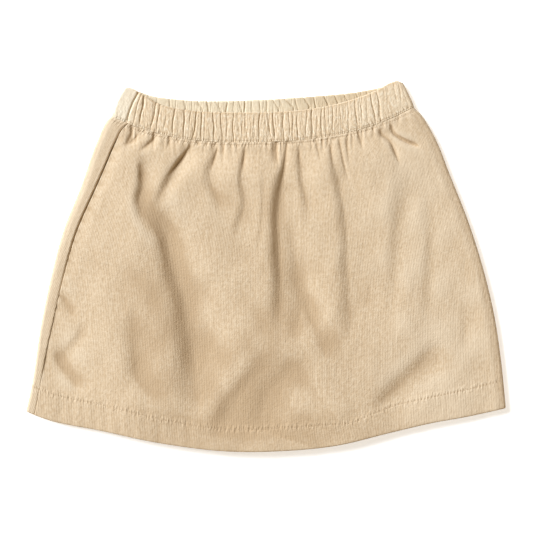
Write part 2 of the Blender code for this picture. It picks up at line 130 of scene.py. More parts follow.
def cubicThrough(stations, values):
    # cubic pieces through the values at their stations, with slopes taken from the neighbours
    stations = np.asarray(stations, dtype=float)
    slopes = np.gradient(values, stations, axis=0)

    def at(station):
        station = np.asarray(station, dtype=float)
        low = np.clip(np.searchsorted(stations, station, side="right") - 1, 0, len(stations) - 2)
        span = (stations[low + 1] - stations[low])[..., None]
        k = (station - stations[low])[..., None] / span
        return (
            (2 * k**3 - 3 * k**2 + 1) * values[low]
            + (k**3 - 2 * k**2 + k) * span * slopes[low]
            + (3 * k**2 - 2 * k**3) * values[low + 1]
            + (k**3 - k**2) * span * slopes[low + 1]
        )

    return at


def smoothCurve(points):
    # a cubic curve through the points: share of its chords' length -> point
    points = np.array(points, dtype=float)
    chords = np.linalg.norm(np.diff(points, axis=0), axis=1)
    return cubicThrough(np.concatenate([[0.0], np.cumsum(chords)]) / chords.sum(), points)


def smoothTable(pairs):
    # a cubic curve through the pairs (station, value): station -> value
    pairs = np.array(pairs, dtype=float)
    at = cubicThrough(pairs[:, 0], pairs[:, 1:])
    return lambda station: at(station)[..., 0]


def gradedSteps(pairs):
    # stations whose spacing follows the pairs (station, spacing), spaced evenly in their odd count
    pairs = np.array(pairs, dtype=float)
    fine = np.linspace(pairs[0, 0], pairs[-1, 0], 4000)
    density = 1 / np.interp(fine, pairs[:, 0], pairs[:, 1])
    count = np.concatenate([[0.0], np.cumsum((density[1:] + density[:-1]) / 2 * np.diff(fine))])
    return np.interp(np.linspace(0, count[-1], 2 * round(count[-1] / 2) + 1), count, fine)


def saggingCurve(left, right, sag, count=13):
    # the straight line between two ends, less sag * (1 - |t|^2.6), flat in its middle
    across = np.linspace(-1, 1, count)[:, None]
    middle = (np.array(left) + np.array(right)) / 2
    half = (np.array(right) - np.array(left)) / 2
    drop = np.array([0.0, sag]) * (1 - np.abs(across) ** 2.6)
    return smoothCurve(middle + half * across - drop)


def spanned(top, bottom, left, right):
    # top and bottom mixed by drop, plus the sides mixed by share, less what the corners count twice
    def at(share, drop):
        share, drop = np.broadcast_arrays(share, drop)
        s = share[..., None]
        d = drop[..., None]
        ends = (1 - d) * top(share) + d * bottom(share)
        sides = (1 - s) * left(drop) + s * right(drop)
        upper = (1 - s) * top(0.0) + s * top(1.0)
        lower = (1 - s) * bottom(0.0) + s * bottom(1.0)
        return ends + sides - (1 - d) * upper - d * lower

    return at


def makePlans():
    # the plan of each layer, with the gap of the waist seam left open
    seamLift = np.array([0.0, garment["seamGap"]])
    leftFoot = np.array(outline["bandLeft"][-1]) + seamLift
    rightFoot = np.array(outline["bandRight"][-1]) + seamLift
    bandLeft = smoothCurve([*outline["bandLeft"][:-1], tuple(leftFoot)])
    bandRight = smoothCurve([*outline["bandRight"][:-1], tuple(rightFoot)])
    skirtLeft = smoothCurve(outline["skirtLeft"])
    skirtRight = smoothCurve(outline["skirtRight"])
    hem = np.array(outline["hem"], dtype=float)
    rise = garment["backHemRise"] * (1 - np.linspace(-1, 1, len(hem)) ** 4)
    backHem = hem + np.stack([np.zeros(len(hem)), rise], axis=1)
    plans = {}
    for side, hemLine in (("front", hem), ("back", backHem)):
        sag = garment["waistSag"][side]
        waist = saggingCurve(outline["skirtLeft"][0], outline["skirtRight"][0], sag)
        bandTop = smoothCurve(outline["bandTop" + side.title()])
        plans["skirt", side] = spanned(waist, smoothCurve(hemLine), skirtLeft, skirtRight)
        plans["band", side] = spanned(bandTop, saggingCurve(leftFoot, rightFoot, sag), bandLeft, bandRight)
        plans["shorts", side] = shortsPlan(waist)
    return plans


def shortsPlan(waist, start=0.03, end=0.97):
    # the inner shorts hang from the middle stretch of the waist seam
    def top(share):
        return waist(start + (end - start) * np.asarray(share))

    left = smoothCurve([tuple(top(0.0)), *outline["shortsLeft"]])
    right = smoothCurve([tuple(top(1.0)), *outline["shortsRight"]])
    return spanned(top, smoothCurve(outline["shortsHem"]), left, right)


plans = makePlans()


def layerWidth(layer, drop):
    # straight across from the left fold to the right one
    plan = plans[layer, "front"]
    return np.linalg.norm(plan(1.0, drop) - plan(0.0, drop), axis=-1)


def tubePoint(layer, share, drop, lift):
    # front plan above and back plan below, mixed by lift, with the height between the fold's two
    fold = foldSize[layer]
    under = ((1 - lift) / 2)[..., None]
    plan = (1 - under) * plans[layer, "front"](share, drop) + under * plans[layer, "back"](share, drop)
    height = (fold["high"] + fold["low"]) / 2 + (fold["high"] - fold["low"]) / 2 * lift
    return np.concatenate([plan, height[..., None]], axis=-1)


def aroundFold(width, layer, start, end, steps, mirrored=False):
    # from a share on top to the right fold, round its half ellipse, and back below to a share
    reach = foldSize[layer]["reach"] / width
    top = start + (1 - reach - start) * np.linspace(0, 1, steps["top"])
    angle = np.linspace(math.pi / 2, -math.pi / 2, steps["turn"] + 1)[1:]
    turn = 1 - reach + reach * np.cos(angle)
    below = 1 - reach + (end - 1 + reach) * np.linspace(0, 1, steps["below"] + 1)[1:]
    share = np.concatenate([top, turn, below], axis=1)
    lift = np.concatenate([np.ones_like(top), np.broadcast_to(np.sin(angle), turn.shape),
                           -np.ones_like(below)], axis=1)
    if mirrored:
        return 1 - share[:, ::-1], lift[:, ::-1]
    return share, lift


def halfTube(layer, width, given, left, right, gaps, front):
    # the front half runs from the left seam over the right fold to the right seam below, the back
    # half the other way round, and each stays off its seams by half of the gap there
    if front:
        start = (left + gaps[0]) / width
        end = 1 - (right - gaps[1]) / width
        return aroundFold(width, layer, start, end, given["columns"])
    start = 1 - (left - gaps[0]) / width
    end = (right + gaps[1]) / width
    return aroundFold(width, layer, start, end, given["backColumns"], mirrored=True)


def wallDown(layer, share, drop, lift, step=0.002):
    # the way down the cloth, from a small step above a point to one below it
    return tubePoint(layer, share, drop + step, lift) - tubePoint(layer, share, drop - step, lift)


def wallNormal(layer, share, drop, lift):
    # cross product of the way down the cloth and the way across it, pointing out of the tube
    across = np.gradient(tubePoint(layer, share, drop, lift), axis=1)
    return unit(np.cross(wallDown(layer, share, drop, lift), across))


def heldWithin(value, low, high, soft=0.25):
    # kept between two limits, with corners rounded by the soft length
    value = low + soft * np.logaddexp(0, (value - low) / soft)
    return high - soft * np.logaddexp(0, (high - value) / soft)


def fold(points, depth, left, right, rise=0.3, fade=0.5, widen=1.0, power=2.0):
    # one soft fold: its path from the waist down, depth (negative for a ridge), widths of its
    # left and right flank, the shares of its length over which it rises and fades, how much
    # wider it is at its end, and the power of its profile, from 1 for sharp to 2 for soft
    return {"path": smoothCurve(points)(np.linspace(0, 1, 20)), "depth": depth, "left": left,
            "right": right, "rise": rise, "fade": fade, "widen": widen, "power": power}


def crease(points, depth, left, right, rise, fade):
    # a fold with a sharp bottom
    return fold(points, depth, left, right, rise, fade, power=1.2)


def foldRelief(x, y, folds):
    # the sum of troughs round the folds' paths, each -depth * exp(-(distance / width)^power)
    height = np.zeros_like(x)
    for given in folds:
        path = given["path"]
        wide = 3 * max(given["left"], given["right"]) * max(given["widen"], 1)
        near = (x > path[:, 0].min() - wide) & (x < path[:, 0].max() + wide)
        near &= (y > path[:, 1].min() - wide) & (y < path[:, 1].max() + wide)
        point = np.stack([x[near], y[near]], axis=-1)[:, None, :]
        start = path[:-1]
        run = path[1:] - start
        k = np.clip(((point - start) * run).sum(-1) / (run**2).sum(-1), 0, 1)
        away = point - start - k[..., None] * run
        distance = np.linalg.norm(away, axis=-1)
        best = distance.argmin(axis=1)
        row = np.arange(len(best))
        along = (best + k[row, best]) / len(run)
        side = run[best, 0] * away[row, best, 1] - run[best, 1] * away[row, best, 0]
        width = np.where(side < 0, given["left"], given["right"]) * (1 + (given["widen"] - 1) * along)
        fade = ease(along, -0.001, given["rise"]) * ease(1 - along, -0.001, given["fade"])
        shape = np.exp(-((distance[row, best] / width) ** given["power"]))
        height[near] -= given["depth"] * fade * shape
    return height


def shown(name, data):
    # an object of that data, in the scene
    thing = bpy.data.objects.new(name, data)
    bpy.context.scene.collection.objects.link(thing)
    return thing


def clothShell(name, outer, inner, materials, cut, rows, worn, palerRows=0):
    # a closed shell: the outer grid, every second row and column of the inner one turned over,
    # and a rim along the four edges; the first rows may take the third material
    count, columns = outer.shape[:2]
    sparse = (slice(None, None, 2), slice(None, None, 2))
    fine = np.arange(count * columns).reshape(count, columns)
    coarse = fine.size + np.arange((count + 1) // 2 * ((columns + 1) // 2)).reshape(fine[sparse].shape)
    quads = []
    for first, turned in ((fine, False), (coarse, True)):
        ring = (first[:-1, :-1], first[1:, :-1], first[1:, 1:], first[:-1, 1:])
        ring = ring[::-1] if turned else ring
        quads.append(np.stack([corner.ravel() for corner in ring], axis=1))
    upper = len(quads[0])
    quads = np.concatenate(quads)
    rims = []
    for edge, turned in ((0, False), (-1, True)):
        for line, back, flip in ((fine[edge], coarse[edge], turned),
                                 (fine[:, edge], coarse[:, edge], not turned)):
            ring = (line[:-2:2], line[1:-1:2], line[2::2], back[1:], back[:-1])
            rims.append(np.stack(ring[::-1] if flip else ring, axis=1))
    rims = np.concatenate(rims)
    corners = np.concatenate([quads.ravel(), rims.ravel()])
    starts = np.concatenate([np.arange(0, quads.size, 4), quads.size + np.arange(0, rims.size, 5)])
    points = np.concatenate([outer.reshape(-1, 3), inner[sparse].reshape(-1, 3)]) * mm
    mesh = bpy.data.meshes.new(name)
    mesh.vertices.add(len(points))
    mesh.vertices.foreach_set("co", points.ravel().astype(np.float32))
    mesh.loops.add(len(corners))
    mesh.loops.foreach_set("vertex_index", corners.astype(np.int32))
    mesh.polygons.add(len(starts))
    mesh.polygons.foreach_set("loop_start", starts.astype(np.int32))
    mesh.update(calc_edges=True)
    for label, values in (("cut", cut), ("rows", rows)):
        pair = np.concatenate([values.reshape(-1, 2), values[sparse].reshape(-1, 2)])[corners]
        layer = mesh.uv_layers.new(name=label)
        layer.uv.foreach_set("vector", pair.ravel().astype(np.float32))
    for material in materials:
        mesh.materials.append(material)
    index = np.zeros(len(starts), dtype=np.int32)
    index[:palerRows * (columns - 1)] = 2
    index[upper:len(quads)] = 1
    mesh.polygons.foreach_set("material_index", index)
    # the attribute of painted shade, painted light and wear
    shade = np.concatenate([worn.ravel(), worn[sparse].ravel()])
    mesh.attributes.new("worn", "FLOAT", "POINT").data.foreach_set("value", shade.astype(np.float32))
    mesh.shade_smooth()
    mesh.validate()
    return shown(name, mesh)


def clothLength(surface, axis):
    # running length along a grid's rows or columns
    step = np.linalg.norm(np.diff(surface, axis=axis), axis=-1)
    return np.insert(np.cumsum(step, axis=axis), 0, 0.0, axis=axis)


def clothWall(layer, share, drop, lift, turn, offset, beyond, bulge, rise, thickness):
    # the tube's point moved out by the offset and down by beyond; the sheet's own normal is the
    # tube's, turned towards the way down by an angle, and the bulge and half thickness follow it
    down = unit(wallDown(layer, share, drop, lift))
    normal = wallNormal(layer, share, drop, lift)
    facing = np.cos(turn)[..., None] * normal + np.sin(turn)[..., None] * down
    middle = tubePoint(layer, share, drop, lift) + normal * np.asarray(offset)[..., None]
    middle = middle + down * np.asarray(beyond)[..., None] + facing * np.asarray(bulge)[..., None]
    middle[..., 2] += rise
    half = facing * (np.asarray(thickness) / 2)[..., None]
    return middle + half, middle - half


def wornRidges(relief, rounds, gain):
    # 0.5 plus the relief's height above its own neighbourhood, so ridges are over 0.5 and hollows under it:
    # painted shade in the hollows, wear and painted light on the ridges
    blurred = relief
    for _ in range(rounds):
        padded = np.pad(blurred, 1, mode="edge")
        blurred = (padded[:-2, 1:-1] + padded[2:, 1:-1] + padded[1:-1, :-2] + padded[1:-1, 2:]) / 4
    return np.clip(0.5 + (relief - blurred) * gain, 0, 1)


def dress(piece, slot, *nodes):
    # every piece lies in the one body, and stands for the plain solids that it is named with
    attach(piece, "root")
    if nodes:
        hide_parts(*nodes)


def shaderGroup(name, inputs):
    # an empty shader node group with its named inputs: one without a default is a vector
    group = bpy.data.node_groups.new(name, "ShaderNodeTree")
    for label, default in inputs.items():
        kind = "NodeSocketVector" if default is None else "NodeSocketFloat"
        socket = group.interface.new_socket(name=label, in_out="INPUT", socket_type=kind)
        if default is not None:
            socket.default_value = default
    return group, group.nodes.new("NodeGroupInput").outputs


def closeGroup(group, values):
    # a named output for each value
    for label in values:
        group.interface.new_socket(name=label, in_out="OUTPUT", socket_type="NodeSocketFloat")
    result = group.nodes.new("NodeGroupOutput").inputs
    for label, value in values.items():
        group.links.new(value, result[label])
    return group


def wire(tree, kind, settings=None, **sockets):
    # adds a node, sets its properties, and links or sets its inputs by name or by number
    node = tree.nodes.new(kind)
    for key, value in (settings or {}).items():
        setattr(node, key, value)
    for key, value in sockets.items():
        socket = node.inputs[int(key[2:]) if key.startswith("in") and key[2:].isdigit() else key]
        if isinstance(value, bpy.types.NodeSocket):
            tree.links.new(value, socket)
        else:
            socket.default_value = value
    return node


def maths(tree, operation, first, second=0.0, third=0.0):
    # one Math node, and its result
    node = wire(tree, "ShaderNodeMath", {"operation": operation}, in0=first, in1=second, in2=third)
    return node.outputs[0]


def ramp(tree, value, fromLow, fromHigh, toLow=0.0, toHigh=1.0, smooth=True):
    # one Map Range node, and its result
    node = tree.nodes.new("ShaderNodeMapRange")
    node.interpolation_type = "SMOOTHSTEP" if smooth else "LINEAR"
    tree.links.new(value, node.inputs[0])
    for index, number in enumerate((fromLow, fromHigh, toLow, toHigh), start=1):
        node.inputs[index].default_value = number
    return node.outputs[0]


def scaled(tree, vector, *factors):
    # a vector times three factors
    node = wire(tree, "ShaderNodeVectorMath", {"operation": "MULTIPLY"}, in0=vector, in1=factors)
    return node.outputs[0]


def noise(tree, vector, scale, detail, roughness=0.5, distortion=0.0, flat=False):
    # one Noise Texture, and its value
    node = wire(tree, "ShaderNodeTexNoise", {"noise_dimensions": "2D" if flat else "3D"}, Vector=vector,
                Scale=scale, Detail=detail, Roughness=roughness, Distortion=distortion)
    return node.outputs["Fac"]


def wave(tree, along, half):
    # half * cos(2 pi * along) + 0.5
    turned = maths(tree, "COSINE", maths(tree, "MULTIPLY", along, 2 * math.pi))
    return maths(tree, "MULTIPLY_ADD", turned, half, 0.5)


def nearby(tree, away, reach):
    # exp(-(away / reach)^2)
    share = maths(tree, "DIVIDE", away, reach)
    return maths(tree, "EXPONENT", maths(tree, "MULTIPLY", maths(tree, "MULTIPLY", share, share), -1.0))


def makeWaleGroup():
    # ribs along the cloth: height = (0.5 - 0.5 cos(2 pi * wales * across))^0.7, with fine yarn noise
    group, given = shaderGroup("corduroyWales", {"Cloth": None, "Wales": 6.0, "Wander": 0.05, "Yarns": 22.0})
    cloth = given["Cloth"]
    drift = noise(group, scaled(group, cloth, 1.0, 0.35, 1.0), 1.3, 3.0, 0.6, flat=True)
    across = wire(group, "ShaderNodeSeparateXYZ", None, in0=cloth).outputs[0]
    shifted = maths(group, "MULTIPLY_ADD", maths(group, "SUBTRACT", drift, 0.5), given["Wander"], across)
    rib = wave(group, maths(group, "MULTIPLY", shifted, given["Wales"]), -0.5)
    rib = maths(group, "POWER", rib, 0.7)
    yarn = noise(group, scaled(group, cloth, 1.0, 0.55, 1.0), given["Yarns"], 2.0, 0.65, flat=True)
    height = maths(group, "MULTIPLY_ADD", yarn, 0.35, maths(group, "MULTIPLY", rib, 0.8))
    groove = maths(group, "SUBTRACT", 1.0, rib)
    return closeGroup(group, {"Height": height, "Groove": groove, "Yarn": yarn})


def makeNapGroup():
    # where the nap lies another way: broad clouds, streaks along the cloth, crushed pile, a fine
    # heather and low wrinkles, each a noise stretched in its own way
    group, given = shaderGroup("brushedNap", {"Place": None, "Cloth": None, "Cloud Scale": 22.0,
                                              "Streak Scale": 1.6})
    place = given["Place"]
    cloth = given["Cloth"]
    cloud = noise(group, place, given["Cloud Scale"], 3.0, 0.55)
    streak = noise(group, scaled(group, cloth, 2.2, 0.22, 1.0), given["Streak Scale"], 4.0, 0.7, flat=True)
    crush = noise(group, scaled(group, cloth, 1.1, 0.88, 1.0), 4.2, 3.0, 0.62, flat=True)
    heather = noise(group, place, 900.0, 2.0, 0.7)
    wrinkle = noise(group, scaled(group, place, 1.0, 0.45, 1.0), 130.0, 3.0, distortion=0.4)
    return closeGroup(group, {
        "Cloud": ramp(group, cloud, 0.3, 0.7), "Streak": ramp(group, streak, 0.3, 0.7),
        "Crush": ramp(group, crush, 0.25, 0.75, smooth=False),
        "Heather": ramp(group, heather, 0.3, 0.7), "Wrinkle": wrinkle,
    })


def makeNeedleGroup():
    # a row of needle holes: a dimple each pitch along the row that dies out away from it, and
    # the uneven small ripples that the thread draws up across it
    group, given = shaderGroup("needleRow", {"Row": None, "Pitch": 0.25, "Reach": 0.07,
                                             "Ripple Reach": 0.26})
    parts = wire(group, "ShaderNodeSeparateXYZ", None, in0=given["Row"]).outputs
    hole = wave(group, maths(group, "DIVIDE", parts[0], given["Pitch"]), 0.5)
    hole = maths(group, "POWER", hole, 2.0)
    ripple = noise(group, scaled(group, given["Row"], 1.0, 0.3, 1.0), 5.0, 1.0, flat=True)
    ripple = maths(group, "SUBTRACT", ripple, 0.5)
    return closeGroup(group, {
        "Dimple": maths(group, "MULTIPLY", hole, nearby(group, parts[1], given["Reach"])),
        "Ripple": maths(group, "MULTIPLY", ripple, nearby(group, parts[1], given["Ripple Reach"])),
    })


groups = {"wales": makeWaleGroup(), "nap": makeNapGroup(), "needle": makeNeedleGroup()}

finish = {
    "skirt": {"base": (0.575, 0.425, 0.265), "deep": (0.43, 0.292, 0.162), "pale": (0.69, 0.56, 0.40),
              "wales": 8.0, "waleDepth": 0.35, "waleShade": 0.18, "sheen": 0.5, "pitch": 0.25,
              "crush": 0.45, "crushDepth": 0.3, "needle": 0.6, "pucker": 0.45},
    "band": {"base": (0.643, 0.463, 0.278), "deep": (0.47, 0.33, 0.185), "pale": (0.84, 0.765, 0.61),
             "wales": 8.0, "waleDepth": 0.4, "waleShade": 0.3, "sheen": 0.5, "pitch": 0.16,
             "crush": 0.55, "crushDepth": 0.6, "needle": 1.0, "pucker": 0.5},
    "inside": {"base": (0.685, 0.575, 0.402), "deep": (0.52, 0.385, 0.23), "pale": (0.74, 0.64, 0.48),
               "wales": 11.0, "waleDepth": 0.25, "waleShade": 0.1, "sheen": 0.15, "pitch": 0.25,
               "crush": 0.4, "crushDepth": 0.3, "needle": 0.5, "pucker": 0.0},
    "jersey": {"base": (0.59, 0.46, 0.32), "deep": (0.48, 0.36, 0.23), "pale": (0.66, 0.54, 0.39),
               "wales": 14.0, "waleDepth": 0.2, "waleShade": 0.15, "sheen": 0.15, "pitch": 0.25,
               "crush": 0.2, "crushDepth": 0.2, "needle": 0.8, "pucker": 0.1},
    "thread": {"base": (0.60, 0.45, 0.29), "deep": (0.50, 0.36, 0.22), "roughness": 0.7},
    # the same on every cloth: how far each mask goes towards the deep or the pale colour; the hollow and
    # dimple masks paint shade, the ridge mask paints light and wear
    "masks": {"cloud": 0.16, "streak": 0.22, "yarn": 0.22, "hollowShade": 0.72, "ridge": 0.5, "dimple": 0.5},
}


def tinted(tree, amount, first, second):
    # one colour mixed towards another
    node = wire(tree, "ShaderNodeMix", {"data_type": "RGBA"}, in0=amount, in6=first, in7=second)
    return node.outputs[2]


def newMaterial(name, settings):
    # a material whose Principled shader has those plain values
    material = bpy.data.materials.new(name)
    material.use_nodes = True
    shader = material.node_tree.nodes["Principled BSDF"]
    for label, value in settings.items():
        shader.inputs[label].default_value = value
    return material, material.node_tree, shader


def clothMaterial(name, values):
    # the base colour darker in clouds of brushed nap, with painted shade in the wales' grooves, in creases,
    # hollows and needle holes and over shaded areas, and painted light with wear on ridges and over lit
    # areas
    material, tree, shader = newMaterial(name, {
        "Specular IOR Level": 0.25, "Sheen Weight": values["sheen"], "Sheen Roughness": 0.45,
        "Sheen Tint": (1.0, 0.97, 0.92, 1),
    })
    place = tree.nodes.new("ShaderNodeTexCoord").outputs["Object"]
    cloth = wire(tree, "ShaderNodeUVMap", {"uv_map": "cut"}).outputs[0]
    row = wire(tree, "ShaderNodeUVMap", {"uv_map": "rows"}).outputs[0]
    worn = wire(tree, "ShaderNodeAttribute", {"attribute_name": "worn"}).outputs["Fac"]
    wales = wire(tree, "ShaderNodeGroup", {"node_tree": groups["wales"]}, Cloth=cloth,
                 Wales=values["wales"]).outputs
    nap = wire(tree, "ShaderNodeGroup", {"node_tree": groups["nap"]}, Place=place, Cloth=cloth).outputs
    needle = wire(tree, "ShaderNodeGroup", {"node_tree": groups["needle"]}, Row=row,
                  Pitch=values["pitch"]).outputs

    masks = finish["masks"]
    base, deep, pale = ((*values[tone], 1) for tone in ("base", "deep", "pale"))
    colour = base
    for amount, tone in (
        # painted shade in the wales' grooves
        (maths(tree, "MULTIPLY", wales["Groove"], values["waleShade"]), deep),
        (maths(tree, "MULTIPLY", nap["Cloud"], masks["cloud"]), deep),
        (maths(tree, "MULTIPLY", nap["Streak"], masks["streak"]), pale),
        (maths(tree, "MULTIPLY", ramp(tree, wales["Yarn"], 0.35, 0.7), masks["yarn"]), pale),
        (ramp(tree, nap["Crush"], 0.5, 0.0, 0.0, values["crush"], False), deep),
        (ramp(tree, nap["Crush"], 0.5, 1.0, 0.0, values["crush"], False), pale),
        # painted shade where the attribute is low, painted light and wear where it is high
        (ramp(tree, worn, 0.5, 0.0, 0.0, masks["hollowShade"]), deep),
        (ramp(tree, worn, 0.5, 1.0, 0.0, masks["ridge"]), pale),
        # painted shade in the needle holes
        (maths(tree, "MULTIPLY", needle["Dimple"], masks["dimple"]), deep),
    ):
        colour = tinted(tree, amount, colour, tone)
    tree.links.new(colour, shader.inputs["Base Color"])
    tree.links.new(maths(tree, "MULTIPLY_ADD", nap["Heather"], 0.12, 0.82), shader.inputs["Roughness"])

    fine = maths(tree, "MULTIPLY", wales["Height"], values["waleDepth"])
    fine = maths(tree, "MULTIPLY_ADD", nap["Heather"], 0.25, fine)
    fine = maths(tree, "MULTIPLY_ADD", needle["Dimple"], -values["needle"], fine)
    fine = maths(tree, "MULTIPLY_ADD", nap["Crush"], values["crushDepth"], fine)
    normal = wire(tree, "ShaderNodeBump", None, Strength=0.8, Distance=0.00035, Height=fine).outputs[0]
    for strength, distance, height in ((0.3, 0.0016, nap["Wrinkle"]),
                                       (values["pucker"], 0.002, needle["Ripple"])):
        normal = wire(tree, "ShaderNodeBump", None, Strength=strength, Distance=distance, Height=height,
                      Normal=normal).outputs[0]
    tree.links.new(normal, shader.inputs["Normal"])
    return material


def threadMaterial(name, values):
    # twisted thread: two colours and a low bump from one fine noise
    material, tree, shader = newMaterial(name, {"Roughness": values["roughness"], "Sheen Weight": 0.1})
    place = tree.nodes.new("ShaderNodeTexCoord").outputs["Object"]
    twist = noise(tree, place, 2500.0, 1.0)
    colour = tinted(tree, ramp(tree, twist, 0.35, 0.65), (*values["base"], 1), (*values["deep"], 1))
    tree.links.new(colour, shader.inputs["Base Color"])
    bump = wire(tree, "ShaderNodeBump", None, Strength=0.5, Distance=0.0001, Height=twist)
    tree.links.new(bump.outputs[0], shader.inputs["Normal"])
    return material


skirtCloth = clothMaterial("corduroy", finish["skirt"])
bandCloth = clothMaterial("corduroyBand", finish["band"])
insideCloth = clothMaterial("corduroyInside", finish["inside"])
jerseyCloth = clothMaterial("jersey", finish["jersey"])
sewingThread = threadMaterial("sewingThread", finish["thread"])
print("materials ready")


skirt = {
    "columns": {"top": 468, "turn": 8, "below": 7},
    "backColumns": {"top": 18, "turn": 8, "below": 121},
    # falls below the waist seam, and the spacing of rows there
    "rowPitch": [(-1.6, 0.6), (0.2, 0.1), (0.6, 0.1), (2.0, 0.45), (8, 0.6), (30, 1.3), (60, 2.4),
                 (110, 3.0), (198, 3.0), (207, 0.8), (216, 0.7), (222, 1.8), (230.4, 1.3)],
    "hemDepth": 19.0,
    # share across, and the hem's depth as it shows there
    "hemDepths": [(0, 19.0), (0.16, 18.9), (0.295, 16.8), (0.43, 15.3), (0.534, 16.3), (0.63, 15.6),
                  (0.68, 14.2), (0.72, 16.6), (0.764, 18.8), (0.846, 18.7), (0.925, 19.5), (1, 20.0)],
    "cutWidths": (293.0, 366.0),     # of one panel, at the waist and at the hem
    "cutLength": 262.0,              # with the turned hem and the waist's seam allowance
    "crown": {"height": 4.3, "left": (-156.0, -90.0), "right": (10.0, 160.0), "atRight": 0.18,
              "top": (-6.0, 34.0), "bottom": (-136.0, -100.0), "atHem": 0.7},
    "limits": {"overShorts": -1.0, "beside": -2.6, "atHem": -1.0, "high": 7.0},
    "hemward": 12.0,                 # over which the limits turn into those at the hem
    "shortsReach": {"beside": (136.0, 144.0), "bottom": (-104.0, -98.0)},
    # beside the left seam: the ditch, its widths on the strip and on the front, its share at the
    # waist, and what it loses towards the hem
    "seamRoll": {"ditch": 1.1, "steep": 0.75, "gentle": 5.5, "atWaist": 0.12, "wholeOver": (10.0, 28.0),
                 "lost": 0.78, "lostOver": (60.0, 165.0)},
    "strip": {"rise": 0.7, "within": (0.0, 2.0), "startOver": (0.0, 12.0), "endOver": (70.0, 170.0)},
    "seamRipple": {"height": 0.22, "length": 9.0, "uneven": (1.6, 17.0), "reach": 6.0,
                   "fade": (130.0, 185.0)},
    "leftGap": {"lost": 0.8, "over": (50.0, 150.0)},     # of the seam's gap, down the left side
    "startOver": (0.1, 1.3),         # falls over which the front's relief starts
    "frontEdge": (0.3, 7.5),         # and distances from the side folds over which it does
    "backEdge": (0.5, 4.0),
    "tuck": {"deep": 0.28, "thin": 0.5, "over": (0.36, 0.5)},     # of the edge inside the waistband
    "gatherLift": {"height": 0.5, "until": (4.0, 12.0)},     # of the cloth between the short gathers
    "gathersAtSeam": 0.25,           # of their depth, and the falls over which the rest comes
    "gathersOver": (-0.2, 4.2),
    "waistLift": {"height": 0.45, "over": (3.0, 34.0)},      # level with the waistband at its foot
    "waistRow": 3.1,                 # fall of the lower of the waist's two rows of stitches
    "waistDitch": {"depth": 0.12, "width": 0.6},
    "hemDitch": {"depth": 0.1, "backDepth": 0.3, "width": 0.8},
    "hemPitch": 1.5625,              # of the hem's stitches, over that of the waist's
    "hemStep": {"height": 0.2, "over": (-4.0, 0.3)},
    "hemRipple": {"height": 0.07, "length": 9.5, "uneven": (2.2, 23.0), "left": 0.02, "right": 0.42,
                  "leftFade": 0.06, "rightFade": 0.1, "over": (-8.0, 2.0)},
    "wornGain": 1.15,                # how much paler a ridge and darker a hollow is, for each millimetre: painted shade in hollows, wear and painted light on ridges
    "paleFold": {"gain": 0.4, "over": (0.0, 12.0)},      # painted light: how much paler the left fold is, where it faces the lamp
    "paleSeam": {"gain": 0.16, "over": (2.0, 6.0)},      # and the strip between the waist's two rows
}

hemRadius = (garment["corduroy"] + 0.05) / 2     # of the hem's edge, where the cloth turns up
hemLine = garment["sideLength"] - skirt["hemDepth"]

